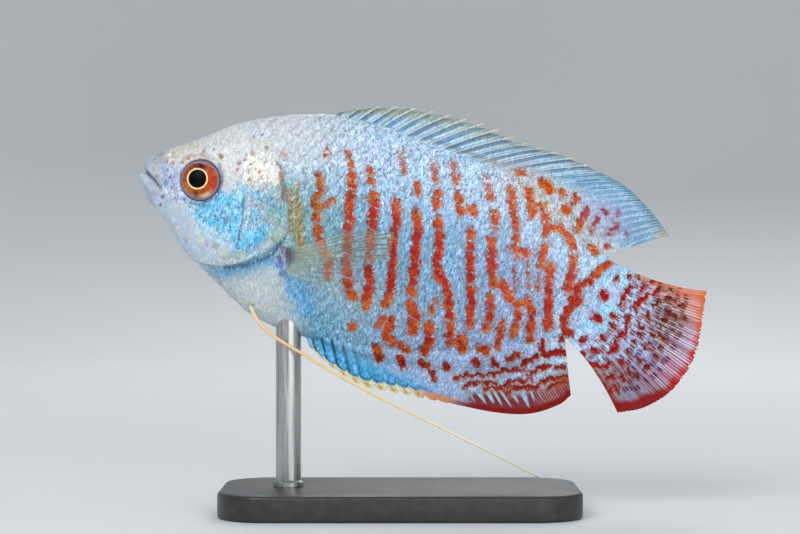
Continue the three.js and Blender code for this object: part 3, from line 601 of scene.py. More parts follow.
def mark_colour(places):
    """Ochre behind the gills, red on the flank, and orange at the markings' ends and near the back."""
    x, z = places.T
    to_end = np.full(len(places), 9.0)
    for _, line in flank_marks:
        for end in (line[0], line[-1]):
            to_end = np.minimum(to_end, np.linalg.norm(places - end, axis=1))
    on_flank = smooth_step(24, 34, x)
    red = smooth_step(0.3, 2.2, to_end + 1.2 * ripple(x, z, 2.0, 9)) * on_flank
    patch = ripple(x, z, 2.2, 12)
    tint = laid(MARK_OCHRE, (MARK_ORANGE, smooth_step(22, 28, x)), (MARK_RED, red),
                (MARK_ORANGE, 0.5 * smooth_step(0.15, 0.6, patch) * on_flank))
    tint[:, :3] *= (1 - 0.3 * smooth_step(0.1, 0.6, -patch))[:, None]
    by_tail = smooth_step(55, 58, x) * smooth_step(68, 64, x)
    below = smooth_step(3.5, -1.5, z - belly_at(x) + 0.6 * ripple(x, z, 2.4, 10)) * smooth_step(30, 40, x)
    past_root = to_line(places, tail_root)
    tint = laid(tint, (MARK_ORANGE, 0.7 * smooth_step(5, 10, z) * smooth_step(66, 60, x)),
                (MARK_RED, 0.8 * smooth_step(3, 0.5, z) * smooth_step(58, 61, x)),
                (MARK_ORANGE, 0.75 * smooth_step(2.5, 4.5, z) * by_tail), (MARK_MAROON, 0.85 * below),
                (MARK_CRIMSON, 0.85 * smooth_step(1.2, 2.2, past_root)),
                (MARK_BROWN, 0.85 * smooth_step(7.5, 10.5, past_root)),
                (MARK_MAGENTA, 0.8 * smooth_step(0.5, 2, z - back_at(x)) * smooth_step(59, 62, x)))
    tint[:, 3] = 1 - 0.4 * smooth_step(9, 13.5, z) * smooth_step(54, 47, x)
    return tint


def note_markings(piece, places, marks, paint):
    """Stores the markings and the ground colour that the fish shaders read."""
    x, z = places.T
    wobbled = places + MARK_WOBBLE * np.stack([ripple(x, z, 1.2, 3), ripple(x, z, 1.2, 4)], -1)
    note(piece, "mark", to_marks(wobbled, marks))
    note(piece, "mark_beside", to_marks(wobbled - MARK_BESIDE, marks))
    note(piece, "tint", mark_colour(places))
    note(piece, "paint", paint)


# Shader building

def add(tree, kind, *links, **settings):
    """A new node, with its inputs linked or set by (input, value) pairs."""
    node = tree.nodes.new(kind)
    for name, value in settings.items():
        setattr(node, name, value)
    for socket, value in links:
        if isinstance(value, bpy.types.NodeSocket):
            tree.links.new(value, node.inputs[socket])
        else:
            node.inputs[socket].default_value = value
    return node


def math_node(tree, operation, *values):
    return add(tree, "ShaderNodeMath", *enumerate(values), operation=operation).outputs[0]


def times(tree, first, second):
    return math_node(tree, "MULTIPLY", first, second)


def plus(tree, first, second):
    return math_node(tree, "ADD", first, second)


def object_place(tree):
    return add(tree, "ShaderNodeTexCoord").outputs["Object"]


def stored(tree, name, output="Fac"):
    """What a piece stores on its corners under a name."""
    return add(tree, "ShaderNodeAttribute", attribute_name=name).outputs[output]


def noise_at(tree, where, scale, detail=3.0, roughness=0.5, distortion=0.0):
    links = (("Vector", where), ("Scale", scale), ("Detail", detail), ("Roughness", roughness),
             ("Distortion", distortion))
    return add(tree, "ShaderNodeTexNoise", *links)


def mixed(tree, factor, first, second, blend="MIX"):
    links = ((0, factor), (6, first), (7, second))
    return add(tree, "ShaderNodeMix", *links, data_type="RGBA", blend_type=blend).outputs[2]


def ranged(tree, value, low, high, to_low=0.0, to_high=1.0, kind="SMOOTHSTEP"):
    links = ((0, value), (1, low), (2, high), (3, to_low), (4, to_high))
    return add(tree, "ShaderNodeMapRange", *links, interpolation_type=kind).outputs[0]


def ramp(tree, factor, stops, interpolation="LINEAR"):
    node = add(tree, "ShaderNodeValToRGB", (0, factor))
    node.color_ramp.interpolation = interpolation
    for _ in stops[2:]:
        node.color_ramp.elements.new(0.5)
    for element, (position, colour) in zip(node.color_ramp.elements, stops):
        element.position = position
        element.color = colour
    return node.outputs[0]


def grey(value):
    return (value, value, value, 1)


def group(name, inputs, outputs):
    """An empty node group, with its inputs' and outputs' sockets."""
    tree = bpy.data.node_groups.new(name, "ShaderNodeTree")
    for socket, kind in inputs:
        tree.interface.new_socket(socket, in_out="INPUT", socket_type="NodeSocket" + kind)
    for socket, kind in outputs:
        tree.interface.new_socket(socket, in_out="OUTPUT", socket_type="NodeSocket" + kind)
    return tree, tree.nodes.new("NodeGroupInput").outputs, tree.nodes.new("NodeGroupOutput").inputs


def fish_frame():
    """Millimetres in the fish's own frame."""
    tree, _, out = group("fish frame", [], [("Vector", "Vector")])
    c, s = math.cos(NOSE_UP), math.sin(NOSE_UP)
    to_snout = (-(SNOUT[0] * c - SNOUT[1] * s), 0, -(SNOUT[0] * s + SNOUT[1] * c))
    mapping = add(tree, "ShaderNodeMapping", (0, object_place(tree)), ("Scale", (1 / MM, 1 / MM, 1 / MM)),
                  ("Rotation", (0, -NOSE_UP, 0)), ("Location", to_snout))
    tree.links.new(mapping.outputs[0], out[0])
    return tree


def pearl_grain():
    """Breaks a ground colour into the fine pale, blue and lavender grains of the scales, with painted
    glints: bright specks that stand in for highlights.
    """
    inputs = [("Color", "Color"), ("Vector", "Vector"), ("Scale", "Float"), ("Contrast", "Float"),
              ("White", "Float")]
    tree, given, out = group("pearl grain", inputs, [("Color", "Color"), ("Height", "Float")])
    stretch = add(tree, "ShaderNodeMapping", (0, given["Vector"]), ("Scale", (1.7, 1, 0.8)),
                  ("Rotation", (0, -0.3, 0))).outputs[0]
    noise = noise_at(tree, stretch, given["Scale"], 3.0, 0.7, 0.6)
    drift = noise_at(tree, stretch, 0.9)
    parts = add(tree, "ShaderNodeSeparateColor", (0, noise.outputs["Color"]))
    value = plus(tree, times(tree, noise.outputs["Fac"], 0.8), times(tree, drift.outputs["Fac"], 0.2))
    shade = ramp(tree, value, [(0.36, grey(0.36)), (0.44, grey(0.7)),
                               (0.51, grey(1.04)), (0.62, grey(1.75))])
    lit = mixed(tree, given["Contrast"], given["Color"], shade, "MULTIPLY")
    hue = ramp(tree, parts.outputs[1], [(0.36, srgb(170, 236, 255)), (0.46, srgb(240, 255, 255)),
                                       (0.54, srgb(255, 246, 240)), (0.64, srgb(232, 200, 255))])
    tinted = mixed(tree, times(tree, given["Contrast"], 0.95), lit, hue, "MULTIPLY")
    # Painted highlights: the brightest grains are mixed towards a pale glint colour
    glint = times(tree, ranged(tree, value, 0.56, 0.68), given["White"])
    glint = times(tree, glint, given["Contrast"])
    tree.links.new(mixed(tree, glint, tinted, srgb(232, 244, 252)), out["Color"])
    tree.links.new(value, out["Height"])
    return tree


def dark_dots():
    """Scatters small dark pigment cells over a colour."""
    inputs = [("Color", "Color"), ("Vector", "Vector"), ("Amount", "Float")]
    tree, given, out = group("dark dots", inputs, [("Color", "Color")])
    cells = add(tree, "ShaderNodeTexVoronoi", ("Vector", given["Vector"]), ("Scale", 2.1))
    parts = add(tree, "ShaderNodeSeparateColor", (0, cells.outputs["Color"]))
    size = ranged(tree, parts.outputs[0], 0.35, 1.0, 0.0, 0.34, "LINEAR")
    inside = math_node(tree, "SUBTRACT", size, cells.outputs["Distance"])
    dot = times(tree, ranged(tree, inside, -0.02, 0.1), given["Amount"])
    tree.links.new(mixed(tree, dot, given["Color"], srgb(20, 44, 84)), out["Color"])
    return tree


def pigment():
    """Lays the orange and red markings over a colour, grainy inside, darker in front and ochre behind."""
    inputs = [("Color", "Color"), ("Vector", "Vector"), ("Ragged", "Float"), ("Strength", "Float")]
    tree, given, out = group("pigment", inputs, [("Color", "Color"), ("Mask", "Float")])
    distance = stored(tree, "mark")
    beside = stored(tree, "mark_beside")
    tint = add(tree, "ShaderNodeAttribute", attribute_name="tint").outputs
    noise = noise_at(tree, given["Vector"], 2.9, 3.0, 0.75).outputs["Fac"]
    faint = math_node(tree, "MULTIPLY_ADD", tint["Alpha"], -3.0, 4.0)
    swing = times(tree, math_node(tree, "SUBTRACT", noise, 0.5), given["Ragged"])
    swing = times(tree, swing, faint)
    ragged = plus(tree, distance, swing)
    strength = times(tree, given["Strength"], tint["Alpha"])
    mask = times(tree, ranged(tree, ragged, 0.16, -0.14), strength)
    front = ranged(tree, plus(tree, beside, swing), -0.12, 0.14)
    behind = ranged(tree, plus(tree, beside, swing), 0.1, -0.14)
    fringe = ranged(tree, ragged, 0.5, 0.05)
    fringe_strength = times(tree, strength, 0.4)
    edged = mixed(tree, times(tree, fringe, fringe_strength), given["Color"], srgb(142, 118, 96))
    edged = mixed(tree, times(tree, behind, fringe_strength), edged, srgb(168, 112, 44))

    grains = noise_at(tree, given["Vector"], 2.8, 3.0, 0.75, 0.4).outputs["Fac"]
    glow = ramp(tree, grains, [(0.38, (0.5, 0.22, 0.3, 1)), (0.46, (0.85, 0.64, 0.6, 1)),
                               (0.53, (1.05, 1.15, 0.75, 1)), (0.64, (1.3, 2.4, 1.1, 1))])
    body = mixed(tree, 0.95, tint["Color"], glow, "MULTIPLY")
    core = times(tree, ranged(tree, ragged, -0.1, -0.42), 0.8)
    body = mixed(tree, core, body, (0.84, 0.52, 0.34, 1), "MULTIPLY")
    dark = mixed(tree, 1.0, tint["Color"], (0.36, 0.16, 0.8, 1), "MULTIPLY")
    colour = mixed(tree, times(tree, front, 0.75), body, dark)
    tree.links.new(mixed(tree, mask, edged, colour), out["Color"])
    tree.links.new(mask, out["Mask"])
    return tree


FISH_FRAME = fish_frame()
PEARL_GRAIN = pearl_grain()
DARK_DOTS = dark_dots()
PIGMENT = pigment()


def new_material(name):
    material = bpy.data.materials.new(name)
    material.use_nodes = True
    tree = material.node_tree
    shader = tree.nodes["Principled BSDF"]
    return material, tree, shader


def placed(tree, node_group, *links):
    return add(tree, "ShaderNodeGroup", *links, node_tree=node_group)


def painted(tree, shader, colour, roughness):
    """Gives a shader its colour, and its roughness from a socket or as one number."""
    tree.links.new(colour, shader.inputs["Base Color"])
    if isinstance(roughness, bpy.types.NodeSocket):
        tree.links.new(roughness, shader.inputs["Roughness"])
    else:
        shader.inputs["Roughness"].default_value = roughness


def bumped(tree, shader, height, strength, distance):
    links = (("Height", height), ("Strength", strength), ("Distance", distance * MM))
    tree.links.new(add(tree, "ShaderNodeBump", *links).outputs[0], shader.inputs["Normal"])


def fish_material(name, grain, contrast, painted_glint, ragged, dots=0.0, roughness=0.38, coat=0.12, gloss=0.3):
    """Skin, scales and fins: painted ground, pearly grain with painted glints, pigment cells and markings.
    """
    material, tree, shader = new_material(name)
    where = placed(tree, FISH_FRAME).outputs[0]
    ground = add(tree, "ShaderNodeAttribute", attribute_name="paint").outputs
    grainy = times(tree, ground["Alpha"], contrast)
    pearl = placed(tree, PEARL_GRAIN, ("Color", ground["Color"]), ("Vector", where), ("Scale", grain),
                   ("Contrast", grainy), ("White", painted_glint)).outputs
    amount = times(tree, ranged(tree, ground["Alpha"], 0.3, 0.9), dots)
    dotted = placed(tree, DARK_DOTS, ("Color", pearl["Color"]), ("Vector", where), ("Amount", amount))
    marks = placed(tree, PIGMENT, ("Color", dotted.outputs["Color"]), ("Vector", where), ("Ragged", ragged),
                   ("Strength", 1.0))
    rough = ranged(tree, pearl["Height"], 0.3, 0.7, roughness + 0.1, roughness - 0.08, "LINEAR")
    painted(tree, shader, marks.outputs["Color"], rough)
    shader.inputs["Coat Weight"].default_value = coat
    shader.inputs["Coat Roughness"].default_value = 0.15
    shader.inputs["Specular IOR Level"].default_value = gloss
    bumped(tree, shader, pearl["Height"], 0.2, 0.05)
    return material


# Camera, backdrop and light

def make_camera():
    place = (0, -CAMERA["back"] * MM, CAMERA["height"] * MM)
    bpy.ops.object.camera_add(location=place, rotation=(math.pi / 2, 0, 0))
    camera = bpy.context.object
    camera.data.lens = CAMERA["lens"]
    camera.data.sensor_width = 36
    camera.data.clip_start = 0.005
    camera.data.clip_end = 20
    bpy.context.scene.camera = camera


def make_backdrop():
    """A round floor that curves up all round into a wall."""
    floor, bend, wall, steps = 0.5, 0.8, 0.7, 24
    bpy.ops.mesh.primitive_circle_add(vertices=96, radius=floor, fill_type="NGON", location=(0, 0, 0))
    backdrop = shown("backdrop")
    select_rim()
    for step in range(1, steps + 1):
        turn = step / steps * math.pi / 2
        before = (step - 1) / steps * math.pi / 2
        out = (floor + bend * math.sin(turn)) / (floor + bend * math.sin(before))
        rise = bend * (math.cos(before) - math.cos(turn))
        bpy.ops.mesh.extrude_edges_move(TRANSFORM_OT_translate={"value": (0, 0, rise)})
        bpy.ops.transform.resize(value=(out, out, 1), center_override=(0, 0, 0))
    bpy.ops.mesh.extrude_edges_move(TRANSFORM_OT_translate={"value": (0, 0, wall)})
    bpy.ops.object.mode_set(mode="OBJECT")
    bpy.ops.object.shade_smooth()
    material, tree, shader = new_material("backdrop paper")
    noise = noise_at(tree, object_place(tree), 3.0, 2.0).outputs["Fac"]
    paper = ramp(tree, noise, [(0.3, srgb(222, 225, 227)), (0.7, srgb(229, 231, 232))])
    painted(tree, shader, paper, 0.85)
    backdrop.data.materials.append(material)


def area_light(name, place, aim, size, power, colour=(1, 1, 1)):
    bpy.ops.object.light_add(type="AREA", location=place)
    light = bpy.context.object
    light.name = name
    light.data.shape = "DISK"
    light.data.size = size
    light.data.energy = power
    light.data.color = colour
    towards = np.array(aim) - np.array(place)
    light.rotation_euler = (math.atan2(math.hypot(*towards[:2]), -towards[2]), 0,
                            math.atan2(towards[1], towards[0]) - math.pi / 2)
    light.visible_camera = False


def make_light():
    area_light("key light", (-0.25, -0.5, 0.4), (0, 0, 0.045), 0.4, 2.1)
    area_light("fill light", (0.3, -0.62, 0.06), (0, 0, 0.045), 0.5, 2.4)
    area_light("back light", (0.1, 0.55, 0.45), (0, 0, 0.045), 0.4, 1.3)
    world = bpy.data.worlds.new("pale room")
    world.use_nodes = True
    world.node_tree.nodes["Background"].inputs[0].default_value = (0.93, 0.96, 1.0, 1)
    world.node_tree.nodes["Background"].inputs[1].default_value = 0.56
    bpy.context.scene.world = world
    bpy.context.scene.view_settings.view_transform = "Standard"


# Skin

SKIN_SIDES = 280
SKIN_RINGS = {"nose": 7, "head": 190, "body": 110}
HEAD_RINGS_TO = 24
NOSE_ROUND = 0.5


def skin_rings():
    """Where the skin's rings stand along x: close together on the head."""
    nose_turns = np.linspace(0, math.pi / 2, SKIN_RINGS["nose"])
    nose = BODY_FROM + NOSE_ROUND * (1 - np.cos(nose_turns))
    head = np.linspace(BODY_FROM + NOSE_ROUND, HEAD_RINGS_TO, SKIN_RINGS["head"])
    body = np.linspace(HEAD_RINGS_TO, BODY_TO, SKIN_RINGS["body"])
    return np.concatenate([nose, head[1:], body[1:]])


def skin_height(x, z):
    """How far the features of the head and body stand out from the plain body."""
    places = np.stack([x, z], -1)
    gill = to_line(places, gill_edge)
    upper = smooth_step(9.5, 6.5, z)
    on_cover = 1 - np.clip(-gill / GILL_COVER["flare"], 0, 1)
    cover = GILL_COVER["proud"] * on_cover**2 * (3 - 2 * on_cover) * smooth_step(0.08, -0.08, gill)
    height = cover * upper * smooth_step(8.5, 12.5, x)
    height -= 0.2 * bell(gill - 0.25, 0.28) * upper * (gill > 0)
    height -= 0.1 * smooth_step(0, 0.8, to_line(places, scales_from))
    cheek = to_line(places, cheek_edge)
    height -= 0.11 * bell(cheek, 0.2) - 0.05 * bell(cheek + 0.6, 0.5)
    eye = np.hypot(x - eye_place[0], z - eye_place[1])
    height += 0.2 * bell(eye - 3.3, 0.32) - 0.08 * bell(eye - 4.0, 0.3)
    height -= 1.3 * smooth_step(3.0, 2.5, eye)
    gape = to_line(places, mouth)
    near = smooth_step(3.7, 2.9, x)
    front = smooth_step(2.6, 0.6, x)
    height += near * (0.1 + 0.6 * front) * bell(to_line(places, upper_lip), 0.4 + 0.25 * front)
    height += near * (0.1 + 0.25 * front) * bell(to_line(places, lower_lip), 0.4)
    height -= near * 0.3 * bell(gape, 0.14) + 0.8 * bell(gape, 0.2) * smooth_step(1.9, 0.8, x)
    lip_band = to_line(places, maxilla)
    height += 0.12 * bell(lip_band, 0.4) - 0.13 * bell(lip_band - 0.7, 0.2) * (x < 5)
    height -= 0.08 * bell(to_line(places, jaw_fold), 0.22)
    tube = np.linalg.norm(places - front_nostril, axis=-1)
    pit = np.linalg.norm(places - rear_nostril, axis=-1)
    height += 0.34 * bell(tube, 0.28) - 0.3 * bell(tube, 0.12)
    height += 0.07 * bell(pit - 0.4, 0.2) - 0.3 * bell(pit, 0.2)
    height += 0.45 * bell(to_line(places, pectoral_root), 0.75)
    return height


# The head's pigments, with its painted shadow and painted highlights, as colour and strength, and where
# each shows: pixels and reach in pixels
PIGMENTS = {
    "brown": (srgb(140, 86, 66), 0.7), "blue black": (srgb(30, 62, 110), 0.65),
    "bright blue": (srgb(40, 165, 225), 0.5), "olive": (srgb(142, 144, 108), 0.55),
    "flesh": (srgb(205, 148, 120), 0.8), "plum": (srgb(108, 76, 108), 0.7),
    # Painted highlights: the bright dabs stand for glints on the snout, nostril, gill shoulder and pectoral
    # base
    "painted_glint": (srgb(240, 240, 238), 0.8), "tan": (srgb(186, 162, 128), 0.6),
    # Painted shade: the shadow colour marks the grooves and the shade under the gill cover and the eye
    "pale rim": (srgb(200, 210, 220), 0.55), "shadow": (srgb(60, 84, 116), 0.8),
    "ochre": (srgb(182, 130, 36), 0.95), "green": (srgb(118, 164, 110), 0.55),
    "rose": (srgb(216, 178, 172), 0.6), "lilac": (srgb(192, 184, 216), 0.6),
    "deep blue": (srgb(66, 98, 196), 0.65), "russet": (srgb(126, 84, 82), 0.85),
}
HEAD_SPOTS = {
    "flesh": [((166.5, 160.5), 2.8), ((285, 155), 3.4)],
    "tan": [((162, 155), 2.6), ((174, 154), 3), ((188, 156), 2.6), ((204, 152), 3), ((248, 172), 2.6)],
    # Painted highlights: glints on the snout, nostril, gill shoulder and pectoral base
    "painted_glint": [((279, 250), 1.6), ((180, 160), 1.6), ((246, 166), 2.6), ((262, 168), 3), ((272, 174), 2.6),
              ((276, 146), 2.2), ((256, 178), 2.2), ((170, 155), 1.4)],
    "ochre": [((260, 172), 2), ((266, 162), 2), ((250, 180), 1.8), ((222, 157), 2.4)],
    "rose": [((252, 164), 2.6), ((270, 184), 2.8), ((264, 190), 2.2), ((282, 152), 3), ((200, 146), 3)],
    "lilac": [((150, 190), 3.2), ((157, 199), 3.4), ((150, 178), 2.4), ((178, 225), 3.4), ((186, 240), 3.6),
              ((205, 245), 3.4), ((272, 225), 3.2), ((284, 262), 3.4)],
    "brown": [((173, 163.5), 2.4), ((183, 163), 1.8), ((239.5, 163), 2.8), ((253, 153.5), 3),
              ((245, 160), 2), ((267, 148), 2.2), ((220.5, 156), 2.6), ((238, 170), 2.2), ((262, 179), 1.8),
              ((268, 186), 1.8), ((214, 150), 1.8), ((161, 205), 2.2), ((278, 164), 2), ((256, 170), 1.4),
              ((247, 155), 1.4)],
    "blue black": [((258, 192), 1.6), ((272, 199), 1.8), ((238, 208), 1.8), ((218, 230), 1.8),
                   ((248, 226), 1.6), ((256, 240), 1.8), ((250, 246), 1.8), ((170, 178), 1.6),
                   ((172, 188), 1.4), ((168, 170), 1.6), ((275, 207), 2), ((268, 203), 1.5),
                   ((230, 231), 2), ((211, 214), 1.4), ((254, 137), 2), ((262, 135), 1.6),
                   ((247, 200), 1.4), ((261, 250), 1.6), ((222, 212), 1.4)],
    "olive": [((216.5, 246), 3.6), ((261, 208), 3), ((268, 217), 3.2), ((276, 240), 4), ((252, 304), 3.4),
              ((264, 226), 2.4), ((279, 222), 2.6)],
    "plum": [((227, 220.5), 3.6), ((284, 250), 4.4), ((281, 259), 4), ((289, 254), 4.6), ((163, 197), 2.2)],
    "bright blue": [((243, 240), 4.6), ((250, 252), 4), ((166, 183), 3.4), ((205, 222), 2.6),
                    ((212, 224), 3), ((270, 262), 4), ((227, 220.5), 1.5), ((248, 208), 2.4),
                    ((216, 206), 3), ((262, 232), 3.4), ((263, 238), 5), ((256, 245), 4.6),
                    ((267, 227), 3.6), ((297, 294), 11), ((306, 309), 9), ((290, 282), 7)],
    "deep blue": [((280, 265), 5), ((283, 274), 4)],
}
HEAD_LINES = {
    "tan": [([(155, 160), (157, 175), (162, 191)], 2.4), ([(186, 160), (200, 156), (214, 160)], 1.8)],
    # Painted shadow: the mouth's corner, the cheek groove, under the gill cover, behind the top of the gill
    # cover and round the eye's rear and foot
    "shadow": [([(150, 175), (156, 181), (163, 190)], 1.4),
               ([(243, 201), (243, 214), (241, 228), (238, 240)], 0.9),
               ([(281, 243), (275, 252), (262, 260), (244, 266), (226, 268)], 2.0),
               ([(276, 161), (280, 166), (284, 173)], 1.2),
               ([(219, 164), (223, 178), (219, 194), (212, 200), (196, 204.5), (184, 198)], 1.2)],
    "russet": [([(281, 176), (283, 187), (284, 200)], 2.8)],
    "pale rim": [([(142, 176), (143, 188), (150, 203), (166, 226), (190, 262)], 1.6),
                 ([(248, 190), (249, 208), (247, 224), (243, 238)], 2.4),
                 ([(163, 190), (177, 198), (194, 208)], 3.2),
                 ([(214, 262), (236, 261), (256, 253), (272, 242)], 1.6),
                 ([(262, 160), (272, 163), (280, 172)], 1.6)],
    "green": [([(294, 186), (296, 212), (296, 236)], 1.8)],
    "ochre": [([(290, 190), (291, 212), (292, 238)], 2.2), ([(298, 182), (298, 200)], 1.4),
              ([(299, 204), (300, 230), (301, 247)], 3.2)],
}


def skin_paint(places):
    """The ground colour with the head's pigments, painted shadows and painted highlights, which reach only
    as far as the pectoral fin.
    """
    paint = ground_colour(places)
    near = places[:, 0] < 30
    paint[near] = pigmented(places[near], paint[near])
    return paint


def pigmented(places, paint):
    """Paint with the head's dabs and lines over it."""
    for name, spots in HEAD_SPOTS.items():
        colour, strength = PIGMENTS[name]
        for pixel, reach in spots:
            away = np.linalg.norm(places - from_photo([pixel])[0], axis=1) / (reach * MM_PER_PIXEL)
            paint = mix_colours(paint, colour, strength * smooth_step(1.25, 0.6, away))
    for name, lines in HEAD_LINES.items():
        colour, strength = PIGMENTS[name]
        for line, reach in lines:
            away = to_line(places, rounded(from_photo(line)))
            paint = mix_colours(paint, colour, strength * bell(away, reach * MM_PER_PIXEL))
    return paint


def make_skin(material):
    rings = skin_rings()
    count = len(rings) - 1
    bpy.ops.mesh.primitive_uv_sphere_add(segments=SKIN_SIDES, ring_count=count, radius=1)
    skin = shown("skin")
    ball = corners(skin)
    ring = np.rint(np.arccos(np.clip(ball[:, 2], -1, 1)) / math.pi * count).astype(int)
    turn = np.rint(np.arctan2(ball[:, 1], ball[:, 0]) / (2 * math.pi) * SKIN_SIDES).astype(int) % SKIN_SIDES

    angles = -math.pi / 2 - 2 * math.pi * np.arange(SKIN_SIDES) / SKIN_SIDES
    x, angle = np.meshgrid(rings, math.pi - angles, indexing="ij")
    surface = body_surface(x, angle)
    middle = np.stack([x, sweep_at(x), widest_at(x)], -1)
    q = np.clip((x - BODY_FROM) / NOSE_ROUND, 0, 1)
    surface = middle + np.sqrt(1 - (1 - q) ** 2)[..., None] * (surface - middle)
    flat = surface.reshape(-1, 3)
    behind = to_line(flat[:, [0, 2]], tail_root).reshape(x.shape)
    thin = 1 - smooth_step(-1.5, 3.0, behind) * 0.86
    surface[..., 1] = middle[..., 1] + (surface[..., 1] - middle[..., 1]) * thin

    along = np.gradient(surface, axis=0)
    around = np.roll(surface, -1, axis=1) - np.roll(surface, 1, axis=1)
    normal = np.cross(along, around)
    normal /= np.maximum(np.linalg.norm(normal, axis=-1, keepdims=True), 1e-9)
    outward = np.sign(np.sum(normal * (surface - middle), axis=-1, keepdims=True))
    normal *= np.where(outward == 0, 1, outward)
    normal[0], normal[-1] = (-1, 0, 0), (1, 0, 0)
    height = skin_height(flat[:, 0], flat[:, 2]).reshape(x.shape)
    surface += normal * height[..., None]

    points = surface[ring, turn]
    move_corners(skin, in_world(points))
    skin.data.uv_layers[0].name = "OFBake"
    bpy.ops.object.shade_smooth()
    places = points[:, [0, 2]]
    note_markings(skin, places, flank_marks, skin_paint(places))
    skin.data.materials.append(material)
    finished(skin, "body_skin", "head", "lower_jaw", "gill_cover_left", "gill_cover_right", "torso",
             "tail_stalk")


# Scales

SCALE = {"pitch": 1.6, "row": 1.45, "front": -1.25, "rear": 1.0, "reach": 0.98, "rise": 0.05, "sink": -0.14}


def scale_plate():
    """One scale as a thin closed plate: corners as (along, across, up, share), and its faces."""
    bpy.ops.mesh.primitive_grid_add(x_subdivisions=7, y_subdivisions=6, size=2)
    plate = shown("scale plate")
    select_rim()
    bpy.ops.mesh.edge_face_add()
    bpy.ops.object.mode_set(mode="OBJECT")
    grid = corners(plate)
    across = grid[:, 1]
    share = 1 - (1 - (grid[:, 0] + 1) / 2) ** 1.5
    rear = SCALE["rear"] * np.sqrt(1 - 0.72 * across**2)
    along = SCALE["front"] * (1 - 0.12 * across**2) * (1 - share) + rear * share
    up = SCALE["sink"] + (SCALE["rise"] - SCALE["sink"]) * share - 0.035 * across**2
    faces = [tuple(face.vertices) for face in plate.data.polygons]
    bpy.data.objects.remove(plate)
    return np.stack([along, across * SCALE["reach"], up, share], -1), faces


class FlankMap:
    """Finds the place on one flank at x and at an arc length above or below its widest level."""

    def __init__(self):
        self.x = np.linspace(8, BODY_TO, 160)
        self.arc = np.linspace(-26, 26, 521)
        self.angle = np.empty((len(self.x), len(self.arc)))
        self.limits = np.empty((len(self.x), 2))
        for k, x in enumerate(self.x):
            turns = np.linspace(-math.pi / 2, math.pi / 2, 361)
            line = body_surface(np.full(len(turns), x), turns)
            lengths = np.append(0, np.cumsum(np.linalg.norm(np.diff(line, axis=0), axis=1)))
            lengths -= lengths[180]
            self.angle[k] = np.interp(self.arc, lengths, turns)
            self.limits[k] = lengths[0], lengths[-1]

    def limits_at(self, x):
        return [np.interp(x, self.x, self.limits[:, k]) for k in (0, 1)]

    def angle_at(self, x, arc):
        row = np.clip((x - self.x[0]) / (self.x[1] - self.x[0]), 0, len(self.x) - 1.001)
        column = np.clip((arc - self.arc[0]) / (self.arc[1] - self.arc[0]), 0, len(self.arc) - 1.001)
        i, j = row.astype(int), column.astype(int)
        a, b = row - i, column - j
        table = self.angle
        return ((1 - a) * (1 - b) * table[i, j] + a * (1 - b) * table[i + 1, j]
                + (1 - a) * b * table[i, j + 1] + a * b * table[i + 1, j + 1])


def scale_centres(flank):
    """Where the scales sit, in rows that run with the body's widest level, each row half a step on."""
    centres = []
    for row in range(-14, 15):
        for step in range(0, 40):
            x = 9 + (step + 0.5 * (row % 2)) * SCALE["pitch"] + rng.normal(0, 0.05)
            arc = row * SCALE["row"] + rng.normal(0, 0.04)
            low, high = flank.limits_at(x)
            edge = 0.1 + 0.7 * (x > 62)
            if low + edge < arc < high - edge and x < 65:
                centres.append((x, arc))
    centres = np.array(centres)
    points = body_surface(centres[:, 0], flank.angle_at(centres[:, 0], centres[:, 1]))
    places = points[:, [0, 2]]
    inside = to_line(places, scales_from) > 0.3
    inside &= to_line(places, tail_root) < 0.6
    inside &= np.abs(to_line(places, pectoral_root)) > 1.0
    return centres[inside]


